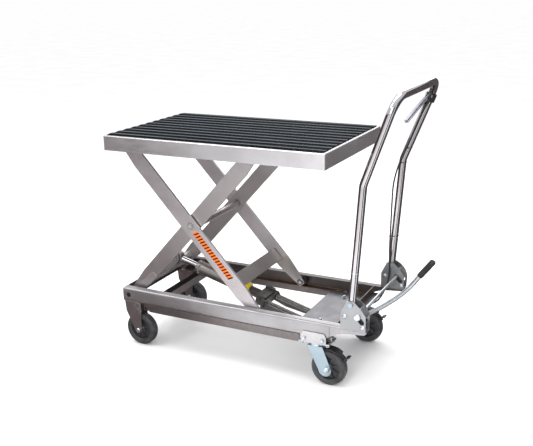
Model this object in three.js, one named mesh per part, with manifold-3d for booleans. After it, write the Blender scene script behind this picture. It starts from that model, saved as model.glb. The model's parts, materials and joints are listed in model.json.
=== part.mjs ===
// Manual mobile scissor lift table, 800 x 500 mm platform, foot-pumped, shown raised to 780 mm.
// Millimetres, +Z up. +X points to the push handle, +Y to the far side. The origin is on the floor,
// in the middle of the whole cart's length and width.
import * as THREE from 'three';
import { mergeVertices } from 'three/addons/utils/BufferGeometryUtils.js';
import Module from 'manifold-3d';

const wasm = await Module();
wasm.setup();

// ---- driving dimensions -------------------------------------------------------------------
const GAP = 0.3; // running gap between pieces that touch

const TABLE_LENGTH = 800;
const TABLE_WIDTH = 500;
const PAN_TOP = 778;
const PAN_SKIRT = 50;
const PAN_SHEET = 2;
const SKIRT_SHEET = 3;
const MAT_MARGIN = 10;
const MAT_BASE = 1.5;
const MAT_THICK = 3.5;
const MAT_RIBS = 11;

const ARM_LENGTH = 756; // pivot to roller
const REST_ANGLE = THREE.MathUtils.degToRad(47.7);
const PIVOT_X = -377;
const PIVOT_Z = 193;
const ARM_WIDTH = 54;
const ARM_TAPER = 94;
const OUTER_ARM_DROP = 3; // the outer arms sit a little below the line through their pins
const OUTER_ARM_Y = [164, 173];
const INNER_ARM_Y = [150, 159.5];
const ROLLER_R = 19.3;
const ROLLER_Y = [177.5, 194];
const STUD_R = 8;
const CENTRE_PIN_R = 13;
const SHAFT_R = 9;

const RAIL_Y = [176.5, 203.6]; // inner flange edge, outer web face
const RAIL_Z = [168, 218];
const RAIL_SHEET = 4;
const CHANNEL_BEND = 6.5; // outside radius of the folds
const RAIL_START = -400;
const RAIL_FULL_END = 392;
const RAIL_END = 521.5;
const SIDE_BAR_Y = [195.5, 201.5]; // set back a little from the rail's face
const SIDE_BAR_FOOT = 140;
const CROSS_SHEET = 3;
const SHAFT_END = 197.5; // the base shaft stops short of the rail's face
const DECK_START = 260;
const DECK_TOP = 184;

const WHEEL_R = 60;
const WHEEL_WIDTH = 32;
const WHEEL_Y = 175;
const WHEEL_BORE = 6.5;
const AXLE_R = 6;
const FIXED_WHEEL_X = -345;
const CASTER_Y = 178;
const SWIVEL_X = 347;
const CASTER_TRAIL = 42;

const RAM_PIN_ARM = 124; // from base pivot along the inner arm to the rod pin
const RAM_PIVOT = [300, 121]; // x, z
const ROD_R = 11.5;
const BARREL_R = 23.5;
const EYE_HOLE_R = 17.5;
const RAM_PIN_R = 9;
const ROD_EXPOSED = 92; // from the gland to the rod pin

const HANDLE_Y = 195.5;
const HANDLE_TOP_Y = 217; // the legs spread a little above the kink
const HANDLE_TUBE_R = 12.7;
const HANDLE_TUBE_BORE = 10.9;
const HANDLE_FOOT = [468.8, 276];
const HANDLE_KINK = [499.5, 681];
const HANDLE_TOP = [600.5, 947];
const HANDLE_BEND = 52;
const HANDLE_PIVOT = [471, 302];
const BRACKET_FOOT_Z = 222;

const PEDAL_PIVOT = [372, 146];
const ANCHOR_LUG_Y = [54, 59];
const PIVOT_PIN_END = 63;
const PEDAL_TIP = [[625.4, 347.1], [652, 382]]; // where the grip starts, and the bar's end inside it
const PEDAL_BAR_R = 7.5;
const LOCK_ROD = [494, 265];
const LOCK_TRAVEL = 22; // down the slots in the brackets

// Middle of the whole length, from the fixed wheels' rear edge to the foot pedal's tip.
const FOOTPRINT_MIDDLE = 135.3;

// ---- materials ----------------------------------------------------------------------------
const finish = (color, roughness, metalness) => ({ color, roughness, metalness });
const POWDER = finish(0x9d9794, 0.5, 0.6);
const ZINC = finish(0xb9c6cc, 0.35, 0.9);
const CHROME = finish(0xd8d8dc, 0.12, 1.0);
const DARK_STEEL = finish(0x4a4644, 0.5, 0.6);
const RUBBER = finish(0x2c3133, 0.85, 0.0);
const TYRE = finish(0x3a3a3b, 0.75, 0.0);
const BLACK_PLASTIC = finish(0x1c1c1e, 0.5, 0.0);
const YELLOW = finish(0xf0d020, 0.5, 0.0);

// ---- geometry helpers ---------------------------------------------------------------------
const cart = new THREE.Group();
cart.position.x = -FOOTPRINT_MIDDLE;

function toSolid(geometry) {
  const bare = geometry.index ? geometry.toNonIndexed() : geometry.clone();
  bare.deleteAttribute('normal');
  bare.deleteAttribute('uv');
  const merged = mergeVertices(bare, 1e-4);
  const mesh = new wasm.Mesh({
    numProp: 3,
    vertProperties: new Float32Array(merged.attributes.position.array),
    triVerts: new Uint32Array(merged.index.array),
  });
  mesh.merge();
  return new wasm.Manifold(mesh);
}

function toGeometry(solid) {
  const mesh = solid.getMesh();
  const geometry = new THREE.BufferGeometry();
  geometry.setAttribute('position', new THREE.BufferAttribute(mesh.vertProperties, 3));
  geometry.setIndex(new THREE.BufferAttribute(mesh.triVerts, 1));
  geometry.computeVertexNormals();
  return geometry;
}

function combine(adds, cuts = []) {
  let solid = toSolid(adds[0]);
  for (const extra of adds.slice(1)) solid = solid.add(toSolid(extra));
  for (const cut of cuts) solid = solid.subtract(toSolid(cut));
  return toGeometry(solid);
}

function addPart(name, geometry, look, parent = cart) {
  const mesh = new THREE.Mesh(geometry, new THREE.MeshStandardMaterial(look));
  mesh.name = name;
  parent.add(mesh);
  return mesh;
}

function box(x, y, z) {
  const geometry = new THREE.BoxGeometry(x[1] - x[0], y[1] - y[0], z[1] - z[0]);
  geometry.translate((x[0] + x[1]) / 2, (y[0] + y[1]) / 2, (z[0] + z[1]) / 2);
  return geometry;
}

// Range of y on one side: side is -1 for the near side and +1 for the far side.
function sideRange(side, range) {
  const ends = [side * range[0], side * range[1]];
  return ends.sort((a, b) => a - b);
}

// Cylinder along Y.
function rodY(x, z, radius, y, segments = 18) {
  const geometry = new THREE.CylinderGeometry(radius, radius, y[1] - y[0], segments);
  geometry.translate(x, (y[0] + y[1]) / 2, z);
  return geometry;
}

const polygon = (points) => new THREE.Shape(points.map((p) => new THREE.Vector2(...p)));

// Flat plate whose outline lies in the XZ plane.
function plateXZ(outline, y, curveSegments = 6) {
  const shape = outline instanceof THREE.Shape ? outline : polygon(outline);
  const settings = { depth: y[1] - y[0], bevelEnabled: false, curveSegments };
  const geometry = new THREE.ExtrudeGeometry(shape, settings);
  geometry.rotateX(Math.PI / 2);
  geometry.translate(0, y[1], 0);
  return geometry;
}

// Prism whose outline lies in the YZ plane, drawn along X.
function prismX(outline, x) {
  const settings = { depth: x[1] - x[0], bevelEnabled: false };
  const geometry = new THREE.ExtrudeGeometry(polygon(outline), settings);
  geometry.rotateY(Math.PI / 2);
  geometry.rotateX(Math.PI / 2);
  geometry.translate(x[0], 0, 0);
  return geometry;
}

// Ring or solid of revolution about the Y axis.
function turned(profile, segments = 28) {
  return new THREE.LatheGeometry(profile.map((p) => new THREE.Vector2(...p)), segments);
}

function ringY(x, z, inner, outer, y, segments = 24) {
  const [low, high] = [y[0], y[1]];
  const geometry = turned([[inner, low], [outer, low], [outer, high], [inner, high], [inner, low]], segments);
  geometry.translate(x, 0, z);
  return geometry;
}

// Points round a corner between two square directions, given as unit steps into and out of it.
function roundCorner(y, z, into, out, radius, steps = 4) {
  const centre = [y - (into[0] - out[0]) * radius, z - (into[1] - out[1]) * radius];
  const points = [];
  for (let i = 0; i <= steps; i += 1) {
    const a = (i / steps) * (Math.PI / 2);
    const [cos, sin] = [Math.cos(a) * radius, Math.sin(a) * radius];
    points.push([0, 1].map((k) => centre[k] - out[k] * cos + into[k] * sin));
  }
  return points;
}

// Folded C channel along X: web at the outer side, flanges pointing to the cart's middle.
function channel(side, x, z, yRange, sheet, cutFlangeAfter = x[1]) {
  const [tip, face] = yRange;
  const [low, high] = z;
  const [outerR, innerR] = [CHANNEL_BEND, CHANNEL_BEND - sheet];
  const outline = [
    [tip, low], ...roundCorner(face, low, [1, 0], [0, 1], outerR),
    ...roundCorner(face, high, [0, 1], [-1, 0], outerR), [tip, high], [tip, high - sheet],
    ...roundCorner(face - sheet, high - sheet, [1, 0], [0, -1], innerR),
    ...roundCorner(face - sheet, low + sheet, [0, -1], [-1, 0], innerR), [tip, low + sheet],
  ].map(([y, height]) => [side * y, height]);
  if (side < 0) outline.reverse();
  const cutY = sideRange(side, [tip - 1, face - sheet]);
  const cut = box([cutFlangeAfter, x[1] + 1], cutY, [low - 1, low + outerR]);
  return combine([prismX(outline, x)], cutFlangeAfter < x[1] ? [cut] : []);
}

// Tube through a list of stations, straight between them.
function tube(stations, radius, bore, facets) {
  const last = stations.length - 1;
  const path = new THREE.Curve();
  path.getPointAt = (u) => stations[Math.round(u * last)].clone();
  path.getTangentAt = (u) => {
    const i = Math.round(u * last);
    return stations[Math.min(i + 1, last)].clone().sub(stations[Math.max(i - 1, 0)]).normalize();
  };
  const shape = new THREE.Shape();
  shape.absarc(0, 0, radius, 0, Math.PI * 2);
  if (bore > 0) {
    const hole = new THREE.Path();
    hole.absarc(0, 0, bore, 0, Math.PI * 2, true);
    shape.holes.push(hole);
  }
  const settings = { extrudePath: path, steps: last, curveSegments: facets / 2, bevelEnabled: false };
  return new THREE.ExtrudeGeometry(shape, settings);
}

// Stations along straight runs joined by rounded corners, each corner in a few even steps.
function roundedPath(corners, radii, steps) {
  const stations = [corners[0]];
  for (let i = 1; i < corners.length - 1; i += 1) {
    const into = corners[i].clone().sub(corners[i - 1]).normalize();
    const out = corners[i + 1].clone().sub(corners[i]).normalize();
    const turn = into.angleTo(out);
    const cut = radii[i - 1] * Math.tan(turn / 2);
    const from = corners[i].clone().addScaledVector(into, -cut);
    const to = corners[i].clone().addScaledVector(out, cut);
    const pull = (4 / 3) * Math.tan(turn / 4) * radii[i - 1];
    const handles = [from.clone().addScaledVector(into, pull), to.clone().addScaledVector(out, -pull)];
    stations.push(...new THREE.CubicBezierCurve3(from, ...handles, to).getPoints(steps[i - 1]));
  }
  stations.push(corners[corners.length - 1]);
  return stations;
}

const sides = [['near', -1], ['far', 1]];
const reach = (angle, length) => [PIVOT_X + length * Math.cos(angle), PIVOT_Z + length * Math.sin(angle)];
const TABLE_PIVOT_Z = reach(REST_ANGLE, ARM_LENGTH)[1];

// ---- base frame ---------------------------------------------------------------------------
const crossY = [-RAIL_Y[0] + GAP, RAIL_Y[0] - GAP];

function railGeometry(side) {
  const [low, high] = RAIL_Z;
  const folded = channel(side, [RAIL_START, RAIL_END], RAIL_Z, RAIL_Y, RAIL_SHEET, RAIL_FULL_END);
  const arch = new THREE.Shape();
  arch.moveTo(RAIL_FULL_END, low - 1);
  arch.lineTo(RAIL_FULL_END, low + 6);
  arch.quadraticCurveTo(420, 196, 462, 199);
  arch.lineTo(RAIL_END - 8, 204);
  arch.lineTo(RAIL_END + 1, high - 6);
  arch.lineTo(RAIL_END + 1, low - 1);
  const archCut = plateXZ(arch, sideRange(side, [190, 210]));
  const shaftHole = rodY(PIVOT_X, PIVOT_Z, SHAFT_R + 0.5, sideRange(side, [190, 210]));
  return combine([folded], [archCut, shaftHole]);
}

function sideBarGeometry(side) {
  const top = RAIL_Z[0] - GAP;
  const foot = SIDE_BAR_FOOT;
  const outline = [[-290, foot], [286, foot], [292, foot + 6], [292, top], [-312, top], [-312, 162]];
  return plateXZ(outline, sideRange(side, SIDE_BAR_Y));
}

function frontCrossMember() {
  const web = box([RAIL_START, RAIL_START + CROSS_SHEET], crossY, RAIL_Z);
  const foot = box([RAIL_START, RAIL_START + 11], crossY, [RAIL_Z[0], RAIL_Z[0] + CROSS_SHEET]);
  return combine([web, foot]);
}

// A channel with its open side down, between the side bars.
function middleCrossMember() {
  const span = [-SIDE_BAR_Y[0] + GAP, SIDE_BAR_Y[0] - GAP];
  const block = box([-318, -284], span, [SIDE_BAR_FOOT + 1, RAIL_Z[0] - GAP]);
  const hollow = box([-318 + CROSS_SHEET, -284 - CROSS_SHEET], [-200, 200], [SIDE_BAR_FOOT + 4, 170]);
  return combine([block], [hollow]);
}

function endCrossMember() {
  const web = box([412, 412 + CROSS_SHEET], crossY, [190, RAIL_Z[1]]);
  const floor = box([412, 444], crossY, [190, 190 + CROSS_SHEET]);
  const lip = box([444 - CROSS_SHEET, 444], crossY, [190, 202]);
  const pedalNotch = box([430, 450], [-12, 12], [180, 196]);
  return combine([web, floor, lip], [pedalNotch]);
}

function deckPlate() {
  const half = OUTER_ARM_Y[0] - 3;
  const sheet = box([DECK_START, 411.7], [-half, half], [DECK_TOP - 3, DECK_TOP]);
  const skirtZ = [165 + GAP, DECK_TOP - 1];
  const skirts = sides.map(([, side]) => box([322, 343], sideRange(side, [136, 139]), skirtZ));
  const cableStop = box([262, 265], [38, 52.6], [164, DECK_TOP - 1]);
  const stopHole = box([258, 270], [41.7, 48.9], [169, 175.6]);
  return combine([sheet, ...skirts, cableStop], [stopHole]);
}

function ramAnchor() {
  const beam = box([320, 345], [-145.7, 145.7], [142, 165]);
  const lug = new THREE.Shape();
  lug.moveTo(RAM_PIVOT[0] - 13, RAM_PIVOT[1]);
  lug.absarc(...RAM_PIVOT, 15, Math.PI, Math.PI * 1.6, false);
  lug.lineTo(PEDAL_PIVOT[0] + 3, 131);
  lug.absarc(PEDAL_PIVOT[0] + 2, PEDAL_PIVOT[1], 15, -Math.PI / 2, Math.PI / 2, false);
  lug.lineTo(318, 165);
  lug.lineTo(RAM_PIVOT[0] - 13, RAM_PIVOT[1] + 16);
  const lugs = sides.map(([, side]) => plateXZ(lug, sideRange(side, ANCHOR_LUG_Y)));
  const pins = [RAM_PIVOT, PEDAL_PIVOT].map(([x, z]) => rodY(x, z, 8 + GAP, [-70, 70]));
  return combine([beam, ...lugs], pins);
}

for (const [label, side] of sides) {
  addPart(`rail_${label}`, railGeometry(side), POWDER);
  addPart(`side_bar_${label}`, sideBarGeometry(side), POWDER);
}
addPart('front_cross_member', frontCrossMember(), POWDER);
addPart('middle_cross_member', middleCrossMember(), POWDER);
addPart('end_cross_member', endCrossMember(), POWDER);
addPart('deck_plate', deckPlate(), POWDER);
addPart('ram_anchor', ramAnchor(), POWDER);
addPart('base_pivot_shaft', rodY(PIVOT_X, PIVOT_Z, SHAFT_R, [-SHAFT_END, SHAFT_END]), ZINC);
addPart('ram_pivot_pin', rodY(...RAM_PIVOT, 8, [-PIVOT_PIN_END, PIVOT_PIN_END]), ZINC);

// ---- wheels -------------------------------------------------------------------------------
function wheelGeometry() {
  const half = WHEEL_WIDTH / 2;
  const profile = [
    [WHEEL_BORE, -half + 1], [17, -half + 1], [19, -half + 8], [41, -half + 8], [44, -half + 1], [50, -half],
    [57, -half + 2], [WHEEL_R, -half + 8], [WHEEL_R, half - 8], [57, half - 2], [50, half], [44, half - 1],
    [41, half - 8], [19, half - 8], [17, half - 1], [WHEEL_BORE, half - 1], [WHEEL_BORE, -half + 1],
  ];
  return turned(profile, 24);
}

// Axle bolt with its head and nut, through a fork whose cheeks stand 21.5 mm either side of the wheel.
function axleSolids(x, y) {
  const shank = rodY(x, WHEEL_R, AXLE_R, [y - 24, y + 24], 20);
  const heads = [-1, 1].map((end) => {
    const faces = [y + end * 21, y + end * 28].sort((a, b) => a - b);
    return rodY(x, WHEEL_R, 9, faces, 6);
  });
  return [shank, ...heads];
}

function fixedFork(side) {
  const outline = new THREE.Shape();
  outline.moveTo(-400, 166);
  outline.lineTo(-396, 128);
  outline.lineTo(-362, 54);
  outline.absarc(FIXED_WHEEL_X - 2, WHEEL_R - 1, 13, Math.PI * 1.15, Math.PI * 2, false);
  outline.lineTo(-334, 120);
  outline.lineTo(-333, 166);
  const cheeks = [[153.5, 156.5], [193.5, 196.5]].map((y) => plateXZ(outline, sideRange(side, y)));
  const crown = box([-400, -333], sideRange(side, [153.5, 196.5]), [164, RAIL_Z[0] - GAP]);
  return combine([...cheeks, crown, ...axleSolids(FIXED_WHEEL_X, WHEEL_Y * side)]);
}

function casterFork(side) {
  const axleX = SWIVEL_X + CASTER_TRAIL;
  const leg = new THREE.Shape();
  leg.moveTo(SWIVEL_X - 27, 134);
  leg.lineTo(axleX - 29, 50);
  leg.absarc(axleX - 8, 55, 22, Math.PI * 1.1, Math.PI * 2.05, false);
  leg.lineTo(SWIVEL_X + 25, 134);
  const y = CASTER_Y * side;
  const legs = [[y - 21.5, y - 18.5], [y + 18.5, y + 21.5]].map((range) => plateXZ(leg, range));
  const crown = box([SWIVEL_X - 27, SWIVEL_X + 25], [y - 21.5, y + 21.5], [130.5, 134]);
  const race = new THREE.CylinderGeometry(25, 21, 6, 20);
  race.rotateX(Math.PI / 2);
  race.translate(SWIVEL_X, y, 136.8);
  const top = new THREE.CylinderGeometry(25, 25, 6, 20);
  top.rotateX(Math.PI / 2);
  top.translate(SWIVEL_X, y, 142.7);
  return combine([...legs, crown, race, top, ...axleSolids(axleX, y)]);
}

function casterPlate(side) {
  const plate = box([294, 400], sideRange(side, [146, 208]), [146, 151]);
  const web = box([310, 400], sideRange(side, [180, 184]), [150, RAIL_Z[0] - GAP]);
  const lug = [[301, 150], [388, 150], [388, 172], [382, 184], [307, 184], [301, 172]];
  const lugY = [RAIL_Y[1] + GAP, RAIL_Y[1] + GAP + 4];
  return combine([plate, web, plateXZ(lug, sideRange(side, lugY))]);
}

// Foot brake: a curved cover over the tyre with a turned-down lip and a toe tab.
function brakePedal(side) {
  const axleX = SWIVEL_X + CASTER_TRAIL;
  const cover = new THREE.Shape();
  const start = THREE.MathUtils.degToRad(96);
  const end = THREE.MathUtils.degToRad(52);
  cover.absarc(axleX, WHEEL_R, 65, end, start, false);
  cover.absarc(axleX, WHEEL_R, 68.5, start, end, true);
  const y = CASTER_Y * side;
  const arm = new THREE.Shape();
  arm.absarc(axleX, WHEEL_R, 65, THREE.MathUtils.degToRad(28), end + 0.02, false);
  arm.absarc(axleX, WHEEL_R, 68, end + 0.02, THREE.MathUtils.degToRad(28), true);
  const tab = new THREE.Shape();
  tab.moveTo(441, 96);
  tab.lineTo(446, 93);
  tab.quadraticCurveTo(449, 104, 460, 106);
  tab.lineTo(460, 109);
  tab.quadraticCurveTo(447, 111, 441, 96);
  return combine([
    plateXZ(cover, [y - 17, y + 17], 8), plateXZ(arm, [y - 6, y + 6], 6), plateXZ(tab, [y - 11, y + 11], 6),
  ]);
}

for (const [label, side] of sides) {
  addPart(`fixed_fork_${label}`, fixedFork(side), POWDER);
  const fixedWheel = addPart(`fixed_wheel_${label}`, wheelGeometry(), TYRE);
  fixedWheel.position.set(FIXED_WHEEL_X, WHEEL_Y * side, WHEEL_R);
  addPart(`caster_plate_${label}`, casterPlate(side), ZINC);
  addPart(`caster_fork_${label}`, casterFork(side), ZINC);
  const casterWheel = addPart(`caster_wheel_${label}`, wheelGeometry(), TYRE);
  casterWheel.position.set(SWIVEL_X + CASTER_TRAIL, CASTER_Y * side, WHEEL_R);
  addPart(`caster_brake_${label}`, brakePedal(side), BLACK_PLASTIC);
}

// ---- scissor arms -------------------------------------------------------------------------
// An arm is drawn along +X from its pivot (0, 0) to its roller (ARM_LENGTH, 0), then turned.
function armBlank(yRange, side, drop) {
  const [top, under] = [ARM_WIDTH / 2 - drop, ARM_WIDTH / 2 + drop];
  const nose = 17;
  const outline = [
    [-nose, -nose * 0.6], [-nose * 0.6, -nose], [ARM_TAPER, -under], [ARM_LENGTH - ARM_TAPER, -under],
    [ARM_LENGTH + 8, -13], [ARM_LENGTH + 13, -8], [ARM_LENGTH + 13, 8], [ARM_LENGTH + 8, 13],
    [ARM_LENGTH - ARM_TAPER, top], [ARM_TAPER, top], [-nose * 0.6, nose], [-nose, nose * 0.6],
  ];
  return plateXZ(outline, sideRange(side, yRange));
}

const innerFrame = new THREE.Group();
innerFrame.position.set(PIVOT_X, 0, PIVOT_Z);
innerFrame.rotation.y = -REST_ANGLE;
cart.add(innerFrame);

const outerFrame = new THREE.Group();
outerFrame.position.set(PIVOT_X, 0, TABLE_PIVOT_Z);
outerFrame.rotation.y = REST_ANGLE;
cart.add(outerFrame);

for (const [label, side] of sides) {
  const innerHoles = [
    rodY(0, 0, SHAFT_R + GAP, sideRange(side, [140, 170])),
    rodY(ARM_LENGTH / 2, 0, CENTRE_PIN_R + GAP + 0.2, sideRange(side, [140, 170]), 24),
  ];
  const innerStud = rodY(ARM_LENGTH, 0, STUD_R, sideRange(side, [155, 195.5]), 20);
  const doubler = plateXZ([[20, -19], [118, -26], [118, -3], [20, 12]], sideRange(side, [158, 161.5]));
  const innerArm = combine([armBlank(INNER_ARM_Y, side, 0), innerStud, doubler], innerHoles);
  addPart(`inner_arm_${label}`, innerArm, POWDER, innerFrame);

  const outerHoles = [
    rodY(0, 0, SHAFT_R + GAP, sideRange(side, [150, 190])),
    rodY(ARM_LENGTH / 2, 0, CENTRE_PIN_R + GAP, sideRange(side, [150, 190]), 24),
  ];
  const outerStud = rodY(ARM_LENGTH, 0, STUD_R, sideRange(side, [170, 195.5]), 20);
  const studHead = rodY(ARM_LENGTH, 0, STUD_R + 3, sideRange(side, [161.6, OUTER_ARM_Y[0] + 1]), 20);
  const outerArm = combine([armBlank(OUTER_ARM_Y, side, OUTER_ARM_DROP), outerStud, studHead], outerHoles);
  addPart(`outer_arm_${label}`, outerArm, POWDER, outerFrame);
  const centrePin = [
    rodY(ARM_LENGTH / 2, 0, CENTRE_PIN_R, sideRange(side, [150, 174.5]), 24),
    rodY(ARM_LENGTH / 2, 0, CENTRE_PIN_R + 5, sideRange(side, [160, 163.6]), 24),
  ];
  addPart(`centre_pin_${label}`, combine(centrePin), ZINC, outerFrame);
  for (const [name, frame] of [['table_roller', innerFrame], ['base_roller', outerFrame]]) {
    const profile = sideRange(side, ROLLER_Y);
    const roller = ringY(ARM_LENGTH, 0, STUD_R + GAP, ROLLER_R, profile, 20);
    addPart(`${name}_${label}`, roller, DARK_STEEL, frame);
  }
}
const innerSpan = [-INNER_ARM_Y[0] + GAP, INNER_ARM_Y[0] - GAP];
const outerSpan = [-OUTER_ARM_Y[0] + GAP, OUTER_ARM_Y[0] - GAP];
addPart('centre_cross_tube', rodY(ARM_LENGTH / 2 + 2, -5, 12.5, innerSpan), POWDER, innerFrame);

function ramCrossTube() {
  const cross = rodY(58, 0, 20, innerSpan);
  const lug = new THREE.Shape();
  lug.moveTo(58, -18);
  lug.lineTo(RAM_PIN_ARM, -17);
  lug.absarc(RAM_PIN_ARM, 0, 17, -Math.PI / 2, Math.PI / 2, false);
  lug.lineTo(58, 18);
  const lugs = sides.map(([, side]) => plateXZ(lug, sideRange(side, [15, 23])));
  return combine([cross, ...lugs, rodY(RAM_PIN_ARM, 0, RAM_PIN_R, [-28, 28])]);
}
addPart('ram_cross_tube', ramCrossTube(), POWDER, innerFrame);

const beamAt = ARM_LENGTH - 133;
addPart('cross_beam', box([beamAt - 25, beamAt + 25], outerSpan, [-4, 4]), POWDER, outerFrame);

// ---- platform -----------------------------------------------------------------------------
function panGeometry() {
  const [halfX, halfY] = [TABLE_LENGTH / 2, TABLE_WIDTH / 2];
  const outer = box([-halfX, halfX], [-halfY, halfY], [PAN_TOP - PAN_SKIRT, PAN_TOP]);
  const innerX = [-halfX + SKIRT_SHEET, halfX - SKIRT_SHEET];
  const innerY = [-halfY + SKIRT_SHEET, halfY - SKIRT_SHEET];
  return combine([outer], [box(innerX, innerY, [PAN_TOP - PAN_SKIRT - 1, PAN_TOP - PAN_SHEET])]);
}

function matGeometry() {
  const half = TABLE_WIDTH / 2 - MAT_MARGIN;
  const pitch = (2 * half) / MAT_RIBS;
  const low = PAN_TOP + GAP;
  const outline = [[-half, low], [half, low]];
  for (let i = MAT_RIBS - 1; i >= 0; i -= 1) {
    const y = -half + i * pitch;
    outline.push([y + pitch * 0.86, low + MAT_BASE], [y + pitch * 0.8, low + MAT_THICK]);
    outline.push([y + pitch * 0.2, low + MAT_THICK], [y + pitch * 0.14, low + MAT_BASE]);
  }
  outline.push([-half, low + MAT_BASE]);
  outline.splice(2, 0, [half, low + MAT_BASE]);
  const halfX = TABLE_LENGTH / 2 - MAT_MARGIN;
  return prismX(outline, [-halfX, halfX]);
}

addPart('table_pan', panGeometry(), POWDER);
addPart('table_mat', matGeometry(), RUBBER);
for (const [label, side] of sides) {
  const z = [TABLE_PIVOT_Z - 23, TABLE_PIVOT_Z + 22.7];
  const hole = rodY(PIVOT_X, TABLE_PIVOT_Z, SHAFT_R + GAP, sideRange(side, [190, 210]));
  const track = combine([channel(side, [-394, 394], z, RAIL_Y, 3)], [hole]);
  addPart(`table_track_${label}`, track, POWDER);
}
addPart('table_pivot_shaft', rodY(PIVOT_X, TABLE_PIVOT_Z, SHAFT_R, [-207, 207]), ZINC);

// ---- hydraulic ram ------------------------------------------------------------------------
// The ram is drawn along +X from its pivot to the rod pin, with local Z down, then turned over
// towards the rear.
const [pinX, pinZ] = reach(REST_ANGLE, RAM_PIN_ARM);
const ramRise = Math.atan2(pinZ - RAM_PIVOT[1], RAM_PIVOT[0] - pinX);
const RAM_LENGTH = Math.hypot(pinZ - RAM_PIVOT[1], RAM_PIVOT[0] - pinX);
const ram = new THREE.Group();
ram.position.set(RAM_PIVOT[0], 0, RAM_PIVOT[1]);
ram.rotation.y = Math.PI + ramRise;
cart.add(ram);

// Cylinder along the ram's own axis.
function along(radius, x, segments = 20) {
  const geometry = new THREE.CylinderGeometry(radius, radius, x[1] - x[0], segments);
  geometry.rotateZ(Math.PI / 2);
  geometry.translate((x[0] + x[1]) / 2, 0, 0);
  return geometry;
}

const gland = RAM_LENGTH - ROD_EXPOSED;
const COLLAR = [RAM_LENGTH - 314, RAM_LENGTH - 296];
const BLOCK = [RAM_LENGTH - 394, RAM_LENGTH - 358];
const CHEEK_Y = [48, 52];
const SPRING_Y = 34;

function barrelGeometry() {
  const body = along(BARREL_R, [COLLAR[1] + GAP, gland - 14]);
  const head = along(BARREL_R + 2.5, [gland - 14.1, gland]);
  const boreBottom = COLLAR[1] + 40;
  return combine([body, head], [along(ROD_R + GAP, [boreBottom, gland + 1])]);
}

function pumpBlock() {
  const block = box([BLOCK[0], BLOCK[1]], [-40, 40], [-19, 19]);
  const neck = along(17, [BLOCK[1] - 1, COLLAR[0] - GAP]);
  const valveBox = box([BLOCK[0], BLOCK[1]], [26, 40], [-27, -18]);
  return combine([block, neck, valveBox]);
}

function pumpFrame() {
  const cheek = new THREE.Shape();
  cheek.moveTo(-14, 0);
  cheek.absarc(0, 0, 14, Math.PI, Math.PI / 2, true);
  cheek.lineTo(BLOCK[0] - 50, 30);
  cheek.lineTo(BLOCK[0] + 8, 24);
  cheek.lineTo(BLOCK[0] + 8, -14);
  cheek.lineTo(BLOCK[0] - 10, -14);
  cheek.lineTo(BLOCK[0] - 18, -3);
  cheek.lineTo(20, -3);
  cheek.lineTo(9, -11);
  cheek.absarc(0, 0, 14, -Math.PI * 0.3, -Math.PI, true);
  const cheeks = sides.map(([, side]) => plateXZ(cheek, sideRange(side, CHEEK_Y)));
  const bridge = box([BLOCK[0] - 9, BLOCK[0] - GAP], [-CHEEK_Y[0] - 1, CHEEK_Y[0] + 1], [-11, 12]);
  const rear = box([38, 50], [-CHEEK_Y[0] - 1, CHEEK_Y[0] + 1], [-11, 9]);
  return combine([...cheeks, bridge, rear], [rodY(0, 0, 8 + GAP, [-PIVOT_PIN_END, PIVOT_PIN_END])]);
}

// Close-coiled return spring seen as its ribbed outline.
function returnSpring(side) {
  const [start, end] = [50 + GAP, BLOCK[0] - 9 - GAP];
  const turns = 10;
  const pitch = (end - start) / turns;
  const profile = [[0, start], [6.5, start]];
  for (let i = 0; i < turns; i += 1) {
    profile.push([8.6, start + (i + 0.5) * pitch], [6.5, start + (i + 1) * pitch]);
  }
  profile.push([0, end]);
  const geometry = turned(profile, 10);
  geometry.rotateZ(-Math.PI / 2);
  geometry.translate(0, side * SPRING_Y, -2);
  return geometry;
}

addPart('ram_barrel', barrelGeometry(), DARK_STEEL, ram);
addPart('ram_collar', along(BARREL_R + 3, COLLAR), YELLOW, ram);
addPart('pump_block', pumpBlock(), DARK_STEEL, ram);
addPart('pump_frame', pumpFrame(), DARK_STEEL, ram);
for (const [label, side] of sides) addPart(`return_spring_${label}`, returnSpring(side), DARK_STEEL, ram);

function rodGeometry() {
  const shank = along(ROD_R, [COLLAR[1] + 110, RAM_LENGTH - 20]);
  const eye = rodY(RAM_LENGTH, 0, EYE_HOLE_R + 7, [-13, 13], 24);
  return combine([shank, eye], [rodY(RAM_LENGTH, 0, EYE_HOLE_R, [-20, 20], 24)]);
}
addPart('ram_rod', rodGeometry(), CHROME, ram);

// ---- foot pedal ---------------------------------------------------------------------------
const xz = (x, z, y = 0) => new THREE.Vector3(x, y, z);
const pedalRoute = new THREE.CatmullRomCurve3([
  xz(PEDAL_PIVOT[0] + 6, PEDAL_PIVOT[1] + 1), xz(410, 158), xz(445, 181), xz(490, 211), xz(536, 247),
  xz(565, 273), xz(592, 302), xz(615, 332), xz(626, 348),
]);
function pedalLever() {
  const bar = tube(pedalRoute.getSpacedPoints(12), PEDAL_BAR_R, 0, 10);
  const tip = tube(PEDAL_TIP.map((point) => xz(...point)), PEDAL_BAR_R, 0, 10);
  const hub = rodY(...PEDAL_PIVOT, 14, [-14, 14]);
  const pin = rodY(...PEDAL_PIVOT, 8, [-PIVOT_PIN_END, PIVOT_PIN_END]);
  return combine([bar, tip, hub, pin]);
}
function pedalGrip() {
  const bore = PEDAL_BAR_R + GAP;
  const profile = [[bore, 0], [9.5, 0], [10.5, 62], [9, 71], [0, 74], [0, 46], [bore, 46], [bore, 0]];
  const grip = turned(profile, 20);
  const [start, end] = PEDAL_TIP;
  grip.rotateX(Math.PI / 2);
  grip.rotateY(Math.atan2(end[0] - start[0], end[1] - start[1]));
  grip.translate(start[0], 0, start[1]);
  return grip;
}
addPart('pedal_lever', pedalLever(), ZINC);
addPart('pedal_grip', pedalGrip(), BLACK_PLASTIC);

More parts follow.
